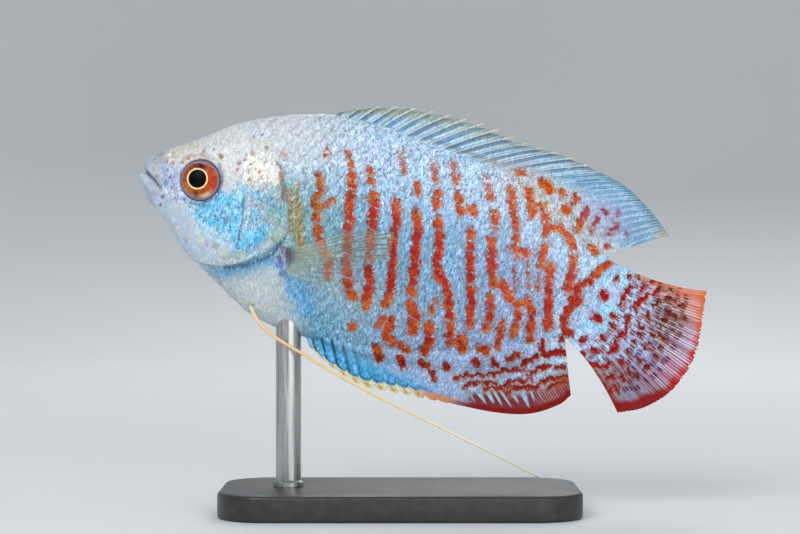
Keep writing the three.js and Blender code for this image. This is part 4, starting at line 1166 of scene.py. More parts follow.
def make_scales(name, side, flank, centres, plate, faces, material):
    count, size = len(centres), len(plate)
    along, across, up, share = np.tile(plate.T, count)
    x0, arc0 = np.repeat(centres, size, axis=0).T
    draws = np.repeat(rng.uniform(-1, 1, (count, 3)), size, axis=0)
    small = 0.62 + 0.38 * smooth_step(66, 50, x0)
    x = np.clip(x0 + along * (0.75 + 0.25 * small), 8.2, BODY_TO - 0.2)
    arc = arc0 + across + 0.05 * draws[:, 0] * along
    angle = flank.angle_at(x, arc)
    point = body_surface(x, angle)
    step = 0.05
    forth = body_surface(np.minimum(x + step, BODY_TO), angle) - body_surface(x - step, angle)
    above = body_surface(x, np.minimum(angle + 0.02, math.pi / 2))
    around = above - body_surface(x, np.maximum(angle - 0.02, -math.pi / 2))
    normal = np.cross(forth, around)
    normal /= np.maximum(np.linalg.norm(normal, axis=1, keepdims=True), 1e-9)
    normal *= np.where(normal[:, 1:2] > 0, -1, 1)
    grain = ground_colour(point[:, [0, 2]])[:, 3]
    relief = 0.35 + 0.65 * smooth_step(0.2, 0.8, grain)
    point = point + normal * ((up * relief - 0.02 + 0.012 * relief * draws[:, 1])[:, None])
    behind = to_line(point[:, [0, 2]], tail_root)
    thin = 1 - smooth_step(-1.5, 3.0, behind) * 0.8
    middle = sweep_at(point[:, 0])
    point[:, 1] = middle + (point[:, 1] - middle) * thin
    places = point[:, [0, 2]].copy()
    if side > 0:
        point[:, 1] = 2 * middle - point[:, 1]

    polygons = np.array([face for face in faces if len(face) == 4])
    underside = [face for face in faces if len(face) > 4][0]
    if side > 0:
        polygons = polygons[:, ::-1]
        underside = underside[::-1]
    shift = (np.arange(count) * size)[:, None]
    quads = (polygons[None] + shift[..., None]).reshape(-1, 4).tolist()
    unders = (np.array(underside)[None] + shift).tolist()
    mesh = bpy.data.meshes.new(name)
    mesh.from_pydata(in_world(point).tolist(), [], quads + unders)
    scales = bpy.data.objects.new(name, mesh)
    bpy.context.scene.collection.objects.link(scales)
    mesh.shade_smooth()
    mark_rims_sharp(mesh, len(quads))

    paint = skin_paint(places)
    paint[:, :3] *= (1 + (0.07 * draws[:, 2] - 0.14 * smooth_step(0.8, 1.0, share)) * relief)[:, None]
    note_markings(scales, places + 0.03 * draws[:, :2], flank_marks, paint)
    bead = (across / 0.75) ** 2
    marks = scales.data.attributes["mark"]
    values = np.empty(len(places))
    marks.data.foreach_get("value", values)
    marks.data.foreach_set("value", values + 0.17 * np.minimum(bead, 1.3) - 0.08)

    low, high = flank.limits_at(x0)
    root = np.stack([(x0 - 8) / (BODY_TO - 8), (arc0 - low) / (high - low)], -1) * 0.94 + 0.03
    patch = np.stack([along / (BODY_TO - 8), across / (high - low)], -1) * 0.42
    layer = mesh.uv_layers.new(name="OFBake")
    loops = np.empty(len(mesh.loops), int)
    mesh.loops.foreach_get("vertex_index", loops)
    layer.data.foreach_set("uv", (root + patch)[loops].ravel())
    mesh.materials.append(material)
    finished(scales, "body_skin")


def mark_rims_sharp(mesh, first_underside):
    """The edges round each underside are sharp, so the top of a scale is shaded smooth."""
    sharp = np.zeros(len(mesh.edges), bool)
    loops = np.empty(len(mesh.loops), int)
    mesh.loops.foreach_get("edge_index", loops)
    start = mesh.polygons[first_underside].loop_start
    sharp[loops[start:]] = True
    attribute = mesh.attributes.new("sharp_edge", "BOOLEAN", "EDGE")
    attribute.data.foreach_set("value", sharp)


# Fins

RAYS = {"dorsal": 24, "anal": 24, "caudal": 15, "pectoral": 12}
THICKNESS = {"dorsal": 1.6, "anal": 1.8, "caudal": 0.62, "pectoral": 0.5}
CAUDAL_DASH_ROWS = 8

DORSAL_HUES = hues({
    "membrane": (132, 176, 208), "lobe": (148, 200, 226), "streak": (62, 108, 152), "pale": (208, 222, 228),
    "olive": (134, 142, 112), "smoke": (96, 110, 116), "root shadow line": (112, 118, 108),
    "spine": (212, 216, 200), "soft ray": (186, 220, 238), "shadow": (46, 66, 88),
    "between": (46, 92, 128), "spine tip": (232, 226, 186), "margin": (70, 98, 96),
    "rear tip": (176, 172, 134), "foot": (198, 192, 190), "lilac": (178, 176, 218),
})
ANAL_HUES = hues({
    "furrow shadow": (12, 40, 76), "ridge": (116, 202, 236), "rear": (160, 190, 208), "red": (118, 14, 4),
    "finger": (164, 196, 214), "fine line": (132, 26, 30), "between": (190, 176, 190),
    "bead": (214, 214, 168), "rear bead": (202, 124, 88), "bead ray": (216, 146, 50),
    "above beads": (30, 44, 76), "margin": (130, 14, 4),
})
CAUDAL_HUES = hues({
    "membrane": (166, 212, 238), "lilac": (192, 186, 226), "violet": (150, 156, 226),
    "orange": (210, 92, 34), "red": (172, 46, 52), "wine": (120, 22, 36), "mauve": (128, 84, 146),
    "smoke": (58, 46, 40), "ray": (230, 226, 242), "top ray": (240, 190, 150), "low ray": (196, 170, 200),
    "inner dash": (156, 14, 14), "outer dash": (70, 28, 30), "top rim": (220, 98, 32), "rim": (190, 22, 8),
    "low rim": (138, 12, 2), "top edge": (216, 110, 42),
})
PECTORAL_HUES = hues({
    "membrane": (196, 206, 184), "inner ray": (136, 142, 108), "outer ray": (50, 46, 30),
    "root": (104, 88, 106),
})


def branches(phase, share, spread):
    """How strongly a ray stands out at a phase of 0 to 1 between it and the next, as it forks outwards."""
    first = smooth_step(spread[0], spread[0] + 0.15, share)
    second = smooth_step(spread[1], spread[1] + 0.15, share)
    away = np.where(phase > 0.5, phase - 1, phase)
    crest = np.zeros(np.shape(phase))
    for fork in (-1, 1):
        for twig in (-1, 1):
            lane = fork * first * 0.24 + twig * second * 0.11
            crest = np.maximum(crest, bell(away - lane, 0.075))
            crest = np.maximum(crest, bell(away - lane + 1, 0.075))
            crest = np.maximum(crest, bell(away - lane - 1, 0.075))
    return crest


def fin_sheet(name, columns, rows, shape_at):
    """A grid shaped into a fin, with its place among the rays (u) and from root to edge (t)."""
    bpy.ops.mesh.primitive_grid_add(x_subdivisions=columns, y_subdivisions=rows, size=2)
    fin = shown(name)
    grid = corners(fin)
    u, t = (grid[:, 0] + 1) / 2, (grid[:, 1] + 1) / 2
    points = shape_at(u, t)
    move_corners(fin, in_world(points))
    fin.data.uv_layers[0].name = "OFBake"
    return fin, u, t, points


def thickened(fin, weights, thickness):
    """Gives a sheet its thickness, as a share of the greatest at each corner."""
    vertex_group = fin.vertex_groups.new(name="thickness")
    for k, weight in enumerate(np.clip(weights, 0, 1)):
        vertex_group.add([k], float(weight), "REPLACE")
    solid = fin.modifiers.new("Solidify", "SOLIDIFY")
    solid.thickness = thickness * MM
    solid.offset = 0
    solid.vertex_group = "thickness"
    solid.use_even_offset = False
    make_active(fin)
    bpy.ops.object.modifier_apply(modifier=solid.name)
    face_outwards()
    bpy.ops.object.shade_smooth()


def wave_at(x, z, body_edge_at):
    """The sideways place of a fin, which waves more the further it stands from the body."""
    away = np.clip((np.abs(z) - np.abs(body_edge_at(x))) / FIN_WAVE["rise"], 0, 1)
    return sweep_at(x) + FIN_WAVE["amplitude"] * away * np.sin(2 * math.pi * x / FIN_WAVE["length"])


def ruled(root, tip, t, bow):
    """From root to tip, bowed upwards in between."""
    x = root[:, 0] + (tip[:, 0] - root[:, 0]) * t
    z = root[:, 1] + (tip[:, 1] - root[:, 1]) * t + 4 * bow * t * (1 - t)
    return x, z


def notched(phase):
    """How far the membrane is cut back between two spines: most just behind the front one."""
    return smooth_step(0.0, 0.12, phase) * (1 - 0.7 * phase) * smooth_step(1.0, 0.93, phase) ** 0.5


def make_dorsal(material):
    rays = RAYS["dorsal"]
    edge = edge_curve(seen_on(DORSAL_EDGE, in_plane))

    def shape_at(u, t):
        phase = (u * (rays - 1)) % 1
        root_x = DORSAL_ROOT[0] + (DORSAL_ROOT[1] - DORSAL_ROOT[0]) * u
        root = np.stack([root_x, back_at(root_x) - FIN_SUNK], -1)
        tip = edge(u + 0.2 * u * (1 - u))
        share = t * (1 - 0.2 * smooth_step(0.7, 0.5, u) * notched(phase))
        x, z = ruled(root, tip, share, 0.25)
        z = z - 0.8 * smooth_step(0.8, 1.0, u) * 6.75 * t * (1 - t) ** 2
        return np.stack([x, wave_at(x, z, back_at), z], -1)

    fin, u, t, points = fin_sheet("dorsal_membrane", (rays - 1) * 20, 56, shape_at)
    phase = (u * (rays - 1)) % 1
    soft = smooth_step(0.66, 0.74, u)
    spine = np.maximum(bell(phase, 0.09), bell(phase - 1, 0.09))
    crest = spine * (1 - soft) + branches(phase, t, (0.45, 0.75)) * soft
    ends = smooth_step(0.0, 0.1, u) * smooth_step(1.0, 0.9, u)
    foot = smooth_step(0.4, 0.1, t) ** 2 * (0.25 + 0.75 * ends)
    weights = np.maximum(0.07 + 0.22 * crest * (1 - 0.4 * t), foot)

    front = smooth_step(0.5, 0.0, u)
    lobe = smooth_step(0.66, 0.78, u)
    drift = ripple(u * 60, t * 3, 4, 21)
    streak = bell(phase - 0.36 - 0.1 * drift, 0.16) * (1 - lobe) * smooth_step(0.1, 0.3, t)
    pale = bell(phase - 0.66 - 0.1 * drift, 0.12) * (1 - lobe)
    olive = smooth_step(0.35, 0.85, t) * (1 - smooth_step(0.3, 0.72, u)) * (0.5 + 0.5 * front)
    smoke = smooth_step(0.7, 0.95, t) * (1 - front) * (1 - lobe)
    # Painted shadow: a thin dark line where the fin leaves the back
    root_line = bell(t - 0.24, 0.06) * smooth_step(0.2, 0.4, u) * smooth_step(0.75, 0.6, u)
    between = (1 - crest) * soft * smooth_step(0.3, 0.6, t)
    margin = smooth_step(0.84, 0.97, t) * smooth_step(0.62, 0.8, u) * (1 - 0.6 * crest)
    foot_pale = smooth_step(0.6, 0.2, t) * smooth_step(0.4, 0.75, u)
    draw = np.random.default_rng(22)
    lines = np.interp(u * 230, np.arange(231), draw.uniform(-1, 1, 231))
    lines = lines * (0.7 + 0.3 * ripple(u * 90, t * 6, 4, 24))

    hue = DORSAL_HUES
    paint = laid(hue["membrane"], (hue["lobe"], lobe), (hue["streak"], 0.7 * streak),
                 (hue["pale"], 0.8 * pale), (hue["olive"], 0.9 * olive), (hue["smoke"], 0.5 * smoke),
                 (hue["root shadow line"], 0.6 * root_line))
    paint[:, :3] *= (1 + (0.46 - 0.14 * lobe) * lines)[:, None]
    on_ray = laid(hue["spine"], (hue["soft ray"], soft))
    paint = laid(paint, (on_ray, crest * (0.85 - 0.3 * soft)),
                 (hue["shadow"], 0.6 * bell(phase - 0.16, 0.05) * (1 - soft)),
                 (hue["between"], 0.5 * between),
                 (hue["spine tip"], smooth_step(0.9, 0.99, t) * spine * (1 - soft)),
                 (hue["margin"], 0.75 * margin),
                 (hue["rear tip"], 0.7 * smooth_step(0.93, 1.0, u) * smooth_step(0.7, 1.0, t)),
                 (hue["foot"], 0.8 * foot_pale),
                 (hue["lilac"], 0.6 * bell(u - 0.88, 0.08) * bell(t - 0.5, 0.3)))
    paint[:, 3] = 0.4 + 0.5 * foot_pale
    note_markings(fin, points[:, [0, 2]], flank_marks, paint)
    thickened(fin, weights, THICKNESS["dorsal"])
    fin.data.materials.append(material)
    finished(fin, "dorsal_fin", "dorsal_fin")


def make_anal(material):
    rays = RAYS["anal"]
    edge = edge_curve(seen_on(ANAL_EDGE, in_plane))

    def shape_at(u, t):
        back = 1 - u
        phase = (back * (rays - 1)) % 1
        root_x = ANAL_ROOT[0] + (ANAL_ROOT[1] - ANAL_ROOT[0]) * u
        root = np.stack([root_x, belly_at(root_x) + FIN_SUNK], -1)
        tip = edge(u + 0.2 * u * back)
        lobe = np.sqrt(np.abs(np.cos(math.pi * phase)))
        share = t * (1 - 0.11 * smooth_step(0.45, 0.65, back) * (1 - lobe))
        x, z = ruled(root, tip, share, -0.25)
        return np.stack([x, wave_at(x, z, belly_at), z], -1)

    fin, u, t, points = fin_sheet("anal_membrane", (rays - 1) * 12, 56, shape_at)
    phase = ((1 - u) * (rays - 1)) % 1
    soft = smooth_step(0.5, 0.6, u)
    spine = np.maximum(bell(phase, 0.09), bell(phase - 1, 0.09))
    crest = spine * (1 - soft) + branches(phase, t, (0.4, 0.7)) * soft
    ends = smooth_step(0.0, 0.1, u) * smooth_step(1.0, 0.9, u)
    foot = smooth_step(0.5, 0.1, t) ** 2 * (0.25 + 0.75 * ends)
    weights = np.maximum(0.06 + 0.18 * crest * (1 - 0.4 * t), foot)

    # Pale fingers reach up into the red zone behind, one in each lane between the rays
    rear = smooth_step(0.5, 0.62, u)
    low = t + 0.09 * ripple(u * 30, 0 * u, 2.4, 62) - 0.2 * smooth_step(0.7, 0.5, u)
    low = smooth_step(0.58, 0.7, low) * rear
    draw = np.random.default_rng(63)
    lane = u * (rays - 1) * 1.4 - (1.3 + smooth_step(0.6, 1.0, u)) * t
    lane = lane + 0.4 * ripple(u * 30, t * 6, 3, 61) + 6
    begins, stops, wide = (draw.uniform(least, most, 40)[lane.astype(int)]
                           for least, most in ((0.56, 0.7), (0.82, 0.94), (0.14, 0.3)))
    grit = draw.uniform(-1, 1, len(u))
    finger = np.abs(lane % 1 - 0.5) - wide * smooth_step(stops, begins, t) ** 0.4
    finger = smooth_step(0.07, -0.07, finger) * rear
    finger = finger * smooth_step(stops, stops - 0.05, t) * smooth_step(0.9, 0.84, u)

    # Fine lines cross the rear end, and round beads edge the front
    line = u * (rays - 1) * 4.2 - 9 * t + 0.5 * ripple(u * 30, t * 6, 3, 65) + 20
    fine = np.sin(2 * math.pi * line) - 0.5 * draw.uniform(-1, 1, 130)[line.astype(int)]
    end = smooth_step(0.82, 0.88, u) * smooth_step(0.45, 0.6, t)
    beads = smooth_step(0.57, 0.47, u) * smooth_step(0.8, 0.86, t)
    bead_ray = bell(np.minimum(phase, 1 - phase), 0.18)
    bead_ray = bead_ray * smooth_step(1.0, 0.95, t) * smooth_step(0.82, 0.9, t)
    margin = t + 0.015 * ripple(u * 30, 0 * u, 1.5, 64)
    margin = smooth_step(0.46, 0.58, u) * smooth_step(0.88, 0.93, margin)

    hue = ANAL_HUES
    places = points[:, [0, 2]]
    # Painted shade in the furrows between the front rays, and painted light along their ridges
    paint = laid(ground_colour(places),
                 (hue["furrow shadow"], 0.9 * bell(phase - 0.3, 0.14) * smooth_step(0.3, 0.1, u)),
                 (hue["ridge"], 0.5 * bell(phase - 0.7, 0.14) * smooth_step(0.4, 0.1, u)),
                 (hue["rear"], 0.6 * smooth_step(0.3, 0.6, t) * rear), (hue["red"], 0.95 * low))
    paint[:, :3] *= (1 + 0.3 * grit * rear)[:, None]
    bead = laid(hue["bead"], (hue["rear bead"], smooth_step(0.34, 0.46, u)))
    paint = laid(paint, (hue["finger"], 0.9 * low * finger),
                 (hue["fine line"], 0.75 * end * smooth_step(-0.6, 0.1, fine)),
                 (hue["between"], 0.6 * end * smooth_step(-0.2, -0.9, fine) * smooth_step(0.92, 0.86, t)),
                 (bead, 0.92 * beads), (hue["bead ray"], beads * bead_ray),
                 (hue["above beads"], 0.6 * smooth_step(0.5, 0.38, u) * bell(t - 0.78, 0.03)),
                 (hue["margin"], 0.97 * margin))
    paint[:, 3] = 0.8 * (1 - margin) * (1 - 0.6 * beads) * (1 - low * (1 - 0.6 * finger)) * (1 - 0.8 * end)
    note_markings(fin, places, flank_marks, paint)
    thickened(fin, weights, THICKNESS["anal"])
    fin.data.materials.append(material)
    finished(fin, "anal_fin", "anal_fin")


def make_caudal(material):
    rays = RAYS["caudal"]
    edge = edge_curve(seen_on(CAUDAL_EDGE, in_plane))
    root_line = np.array(TAIL_ROOT[1:-1], float)
    direction = np.gradient(root_line, axis=0)
    direction /= np.linalg.norm(direction, axis=1, keepdims=True)
    sunk = root_line + np.stack([direction[:, 1], -direction[:, 0]], -1) * 1.6
    root_at = edge_curve(sunk)
    teeth = 3 * (rays - 1)
    depths = np.random.default_rng(34).uniform(0.1, 1.0, teeth + 1)

    def shape_at(u, t):
        root, tip = root_at(0.03 + 0.89 * u), edge(u)
        saw = 0.016 * np.abs(np.sin(math.pi * u * teeth)) * depths[(u * teeth).astype(int)]
        saw = saw * (0.25 + 0.75 * smooth_step(0.7, 0.5, u))
        x, z = ruled(root, tip, t * (1 - saw), CAUDAL_BOW[0] + (CAUDAL_BOW[1] - CAUDAL_BOW[0]) * u)
        swing = FIN_WAVE["amplitude"] * (x - BODY_TO) / FIN_WAVE["tail_rise"]
        return np.stack([x, sweep_at(x) + swing * np.sin(z / FIN_WAVE["tail_pitch"]), z], -1)

    fin, u, t, points = fin_sheet("caudal_membrane", (rays - 1) * 26, 110, shape_at)
    warp = 0.006 * np.sin(math.pi * u) * ripple(u * 25, t * 3, 5, 36)
    phase = ((u + warp) * (rays - 1)) % 1
    crest = branches(phase, t, (0.3, 0.62))
    weights = np.maximum(0.16 + 0.5 * crest * (1 - 0.5 * t), smooth_step(0.25, 0.05, t))

    places = points[:, [0, 2]]
    x, z = places.T
    draw = np.random.default_rng(33)

    def by_lane(low, high, lanes=4 * (rays - 1)):
        """A random value for each lane between the rays, blended from lane to lane."""
        return np.interp(u * lanes, np.arange(lanes + 1), draw.uniform(low, high, lanes + 1))

    # Lanes turn red at their own places towards the edge, and their rays stay pale where they are strong
    later = 0.12 * bell(u - 0.6, 0.13)
    outer = smooth_step(0.45, 0.74, t + by_lane(-0.16, 0.1) + 0.08 * smooth_step(0.7, 0.9, u) - later)
    deep = by_lane(0.65, 1.0)
    strong = np.clip(by_lane(-0.4, 1.1), 0, 1) * (1 - 0.7 * smooth_step(0.62, 0.82, u))
    gap = 1 - (1 - smooth_step(0.95, 0.45, crest)) * (0.2 + 0.8 * strong)
    hue = CAUDAL_HUES
    paint = laid(hue["membrane"], (hue["lilac"], 0.7 * smooth_step(-0.3, 0.6, ripple(x, z, 5, 31))),
                 (hue["violet"], 0.6 * bell(u - 0.6, 0.14) * bell(t - 0.72, 0.14)))
    paint[:, :3] *= (1 + 0.22 * by_lane(-1, 1, 130) * smooth_step(0.15, 0.4, t))[:, None]
    reds = laid(hue["orange"], (hue["red"], smooth_step(0.1, 0.35, u)),
                (hue["wine"], smooth_step(0.5, 0.8, u)),
                (hue["mauve"], 0.7 * bell(u - 0.6, 0.12) * smooth_step(0.9, 0.75, t)))
    pale = laid(hue["ray"], (hue["top ray"], smooth_step(0.25, 0.08, u)),
                (hue["low ray"], smooth_step(0.62, 0.85, u)))
    paint = laid(paint, (reds, 0.92 * outer * deep * gap),
                 (hue["smoke"], 0.9 * bell(u - 0.3, 0.15) * bell(t - 0.74, 0.13) * gap),
                 (pale, 0.9 * crest**2 * strong * smooth_step(0.35, 0.7, t)))
    for k in range(CAUDAL_DASH_ROWS):
        level = 0.42 + 0.06 * k + 0.025 * ripple(u * 40, 0 * u + k, 5, 71)
        lane = u * teeth + 0.5 * (k % 2)
        chosen = draw.uniform(0, 1, teeth + 2)[lane.astype(int)] > 0.4
        dash = smooth_step(0.028, 0.014, np.abs(t - level)) * chosen
        dash = dash * smooth_step(0.44, 0.3, np.abs(lane % 1 - 0.5))
        share = k / CAUDAL_DASH_ROWS
        dark = hue["inner dash"] * (1 - share) + hue["outer dash"] * share
        paint = mix_colours(paint, dark, 0.92 * dash * (0.6 + 0.4 * gap))

    uneven = 0.018 * ripple(u * 40, t * 0, 3, 32) + 0.02 * (deep - 0.6) - 0.02 * crest * strong
    level = 0.93 + 0.015 * bell(u - 0.3, 0.14) - 0.035 * smooth_step(0.6, 0.85, u)
    through = 0.6 * crest * strong * smooth_step(0.75, 0.5, u)
    margin = smooth_step(level, level + 0.045, t + uneven) * (1 - through)
    rim = laid(hue["top rim"], (hue["rim"], smooth_step(0.12, 0.4, u)),
               (hue["low rim"], smooth_step(0.5, 0.75, u)))
    top_edge = smooth_step(0.09, 0.02, u) * smooth_step(0.25, 0.5, t) * (1 - 0.6 * crest)
    low_edge = smooth_step(0.95, 0.985, u) * smooth_step(0.5, 0.75, t)
    paint = laid(paint, (rim, 0.96 * margin), (hue["top edge"], 0.85 * top_edge),
                 (hue["low rim"], 0.9 * low_edge))
    paint[:, 3] = 0.75 * (1 - 0.8 * outer) * (1 - margin)
    note_markings(fin, places, caudal_marks, paint)
    thickened(fin, weights, THICKNESS["caudal"])
    fin.data.materials.append(material)
    finished(fin, "caudal_fin", "caudal_fin")


def make_pectoral(name, side, node, material):
    rays = RAYS["pectoral"]
    top, bottom = pectoral_root

    def splayed(x, z):
        return -flank_at(top[0], top[1]) - (x - top[0]) * math.tan(PECTORAL_SPLAY)

    edge = edge_curve(seen_on(PECTORAL_EDGE, splayed))

    def shape_at(u, t):
        hinge = top + (bottom - top) * u[:, None]
        tip = edge(u)
        reach = np.linalg.norm(tip - hinge, axis=1, keepdims=True)
        root = hinge - (tip - hinge) / reach * 0.8
        x, z = ruled(root, tip, t, 0.0)
        z = z + 7 * (1 - u) ** 2 * t * (1 - t) * (t - 0.6)
        y = -flank_at(hinge[:, 0], hinge[:, 1]) - (x - hinge[:, 0]) * math.tan(PECTORAL_SPLAY)
        y = y + 0.8 * smooth_step(0.08, 0.0, t)
        return np.stack([x, -side * y, z], -1)

    fin, u, t, _ = fin_sheet(name, (rays - 1) * 24, 64, shape_at)
    phase = (u * (rays - 1)) % 1
    fork = 0.2 * smooth_step(0.45, 0.9, t)
    crest = bell(np.minimum(phase, 1 - phase) - fork, 0.085 - 0.025 * t)
    weights = np.maximum(0.14 + 0.4 * crest * (1 - 0.6 * t), smooth_step(0.22, 0.05, t))
    hue = PECTORAL_HUES
    ray = laid(hue["inner ray"], (hue["outer ray"], smooth_step(0.3, 0.6, t)))
    note(fin, "paint", laid(hue["membrane"], (ray, 0.95 * crest), (hue["root"], smooth_step(0.2, 0.1, t))))
    ray_cover = (0.3 + 0.5 * smooth_step(0.3, 0.65, t)) * (1 - 0.85 * smooth_step(0.3, 0.85, u))
    root_cover = 0.22 * smooth_step(0.18, 0.1, t) * smooth_step(0.04, 0.08, t) * smooth_step(0.8, 0.4, u)
    cover = 0.06 + ray_cover * crest + 0.26 * smooth_step(0.62, 0.2, t) * (1 - 0.5 * u) + root_cover
    note(fin, "cover", np.clip(cover, 0, 1))
    thickened(fin, weights, THICKNESS["pectoral"])
    fin.data.materials.append(material)
    finished(fin, "pectoral_fin", node)


def pectoral_material():
    material, tree, shader = new_material("clear fin")
    noise = noise_at(tree, placed(tree, FISH_FRAME).outputs[0], 1.5).outputs["Fac"]
    shade = ramp(tree, noise, [(0.3, grey(0.8)), (0.7, grey(1.15))])
    colour = mixed(tree, 1.0, stored(tree, "paint", "Color"), shade, "MULTIPLY")
    painted(tree, shader, colour, ranged(tree, noise, 0.3, 0.7, 0.3, 0.4))
    cover = times(tree, stored(tree, "cover"), ranged(tree, noise, 0.2, 0.8, 0.8, 1.15))
    tree.links.new(cover, shader.inputs["Alpha"])
    shader.inputs["Specular IOR Level"].default_value = 0.12
    return material


# Feelers

def make_feeler(name, points, side, node, material):
    """A tapered thread along a curve, closed at both ends."""
    line = rounded([[x, side * y, z] for x, y, z in points], 14)
    data = bpy.data.curves.new(name, "CURVE")
    data.dimensions = "3D"
    data.bevel_depth = MM
    data.bevel_resolution = 4
    data.use_fill_caps = True
    spline = data.splines.new("POLY")
    spline.points.add(len(line) - 1)
    world = in_world(line)
    for k, point in enumerate(spline.points):
        share = k / (len(line) - 1)
        point.co = (*world[k], 1)
        point.radius = FEELER_RADIUS[0] + (FEELER_RADIUS[1] - FEELER_RADIUS[0]) * share**0.8
    feeler = bpy.data.objects.new(name, data)
    bpy.context.scene.collection.objects.link(feeler)
    make_active(feeler)
    bpy.ops.object.convert(target="MESH")
    feeler = bpy.context.object
    bpy.ops.object.mode_set(mode="EDIT")
    bpy.ops.mesh.select_all(action="SELECT")
    bpy.ops.mesh.remove_doubles(threshold=1e-7)
    face_outwards()
    bpy.ops.object.shade_smooth()
    feeler.data.materials.append(material)
    finished(feeler, "feeler", node)


def feeler_material():
    material, tree, shader = new_material("feeler skin")
    where = placed(tree, FISH_FRAME).outputs[0]
    along = add(tree, "ShaderNodeSeparateXYZ", (0, where)).outputs[0]
    noise = noise_at(tree, where, 1.2).outputs["Fac"]
    spot = plus(tree, times(tree, along, 1 / 66), times(tree, noise, 0.12))
    colour = ramp(tree, spot, [(0.3, srgb(205, 214, 214)), (0.42, srgb(236, 196, 138)),
                               (0.62, srgb(242, 212, 140)), (0.85, srgb(240, 232, 190)),
                               (1.0, srgb(214, 214, 170))])
    painted(tree, shader, colour, ranged(tree, noise, 0.3, 0.7, 0.35, 0.5))
    bumped(tree, shader, noise, 0.3, 0.05)
    return material


# Eyes

EYE_HUES = hues({
    "iris": (162, 82, 34), "front red": (188, 56, 16), "crimson": (150, 40, 34), "amber": (170, 84, 26),
    "gold": (176, 110, 40), "orange": (206, 120, 40), "lid shadow": (34, 26, 40), "notch": (66, 44, 56),
    "blue rim": (130, 150, 214), "rose rim": (160, 92, 112), "brown rim": (130, 60, 60),
    "cream rim": (206, 190, 150), "grey rim": (176, 160, 160),
})


def eye_material():
    material, tree, shader = new_material("eye")
    away = stored(tree, "away")
    pupil = stored(tree, "from_pupil")
    noise = noise_at(tree, stored(tree, "spokes", "Vector"), 1.0, 4.0).outputs["Fac"]
    fibres = ramp(tree, noise, [(0.3, grey(0.55)), (0.5, grey(1.0)), (0.72, grey(1.6))])
    iris = mixed(tree, 0.8, stored(tree, "paint", "Color"), fibres, "MULTIPLY")
    ragged = math_node(tree, "MULTIPLY_ADD", noise, 0.3, pupil)
    iris = mixed(tree, ranged(tree, ragged, 1.68, 1.56), iris, srgb(238, 222, 166))
    iris = mixed(tree, ranged(tree, pupil, 1.3, 1.24), iris, (0.002, 0.002, 0.003, 1))
    iris = mixed(tree, times(tree, ranged(tree, away, 2.3, 2.55), 0.8), iris, srgb(140, 122, 140))
    iris = mixed(tree, ranged(tree, away, 2.64, 2.8), iris, srgb(84, 72, 90))
    painted(tree, shader, iris, ranged(tree, noise, 0.3, 0.7, 0.3, 0.42))
    shader.inputs["Specular IOR Level"].default_value = 0.06
    shader.inputs["Coat Weight"].default_value = 0.02
    shader.inputs["Coat Roughness"].default_value = 0.04
    shader.inputs["Coat IOR"].default_value = 1.33
    return material


def make_eye(name, side, node, material):
    """A flattened ball with a raised pupil, set into the flank and turned to face straight out of it."""
    bpy.ops.mesh.primitive_uv_sphere_add(segments=96, ring_count=72, radius=1)
    eye = shown(name)
    ball = corners(eye)
    x0, z0 = eye_place
    step = 0.2
    slope_x = (flank_at(x0 + step, z0) - flank_at(x0 - step, z0)) / (2 * step)
    slope_z = (flank_at(x0, z0 + step) - flank_at(x0, z0 - step)) / (2 * step)
    normal = np.array([-slope_x, 1, -slope_z])
    normal /= np.linalg.norm(normal)
    first = np.cross(normal, [0, 0, 1])
    first /= np.linalg.norm(first)
    second = np.cross(first, normal)
    flat = ball[:, :2] * (EYE["radius"] + 0.2)
    centre = np.array([x0, flank_at(x0, z0), z0]) - EYE["sunk"] * normal
    points = centre + flat[:, :1] * first + flat[:, 1:2] * second + ball[:, 2:] * EYE["half_depth"] * normal
    offset = np.hypot(points[:, 0] - pupil_place[0], points[:, 2] - pupil_place[1])
    dome = 0.16 * smooth_step(2.4, 0.4, offset) - 0.05 * bell(offset - 1.27, 0.08)
    points += np.where(ball[:, 2] > 0, dome, 0)[:, None] * normal
    points[:, 1] *= side
    move_corners(eye, in_world(points))
    if side < 0:
        face_outwards()
    bpy.ops.object.shade_smooth()

    around = np.arctan2(points[:, 2] - pupil_place[1], points[:, 0] - pupil_place[0])
    above = smooth_step(1.45, 1.6, offset) * smooth_step(2.25, 2.0, offset)
    outer = smooth_step(2.05, 2.45, offset)
    hue = EYE_HUES
    paint = laid(hue["iris"], (hue["front red"], 0.85 * bell(around - 0.15, 0.9)),
                 (hue["crimson"], 0.7 * bell(around - 2.6, 0.4)),
                 (hue["amber"], 0.7 * bell(np.abs(around) - 3.14, 0.6)),
                 (hue["gold"], 0.7 * bell(around + 2.2, 0.5)),
                 (hue["orange"], 0.6 * bell(around - 0.95, 0.25) * smooth_step(2.3, 1.8, offset)),
                 (hue["lid shadow"], 0.95 * bell(around - 1.6, 0.5) * above),
                 (hue["notch"], 0.8 * bell(around + 1.45, 0.16) * smooth_step(1.6, 1.9, offset)),
                 (hue["blue rim"], 0.9 * outer * bell(around - 1.75, 0.42)),
                 (hue["rose rim"], 0.35 * outer * bell(around - 0.8, 0.35)),
                 (hue["brown rim"], 0.4 * outer * bell(around, 0.4)),
                 (hue["cream rim"], 0.75 * outer * bell(around + 0.9, 0.4)),
                 (hue["grey rim"], 0.6 * outer * bell(around + 1.9, 0.4)))
    note(eye, "paint", paint)
    note(eye, "away", np.hypot(points[:, 0] - x0, points[:, 2] - z0))
    note(eye, "from_pupil", offset)
    spokes = np.stack([np.cos(around) * 4.0, np.sin(around) * 4.0, offset * 0.9], -1)
    attribute = eye.data.attributes.new("spokes", "FLOAT_VECTOR", "POINT")
    attribute.data.foreach_set("vector", spokes.ravel())
    eye.data.materials.append(material)
    finished(eye, "eye", node)


# Stand

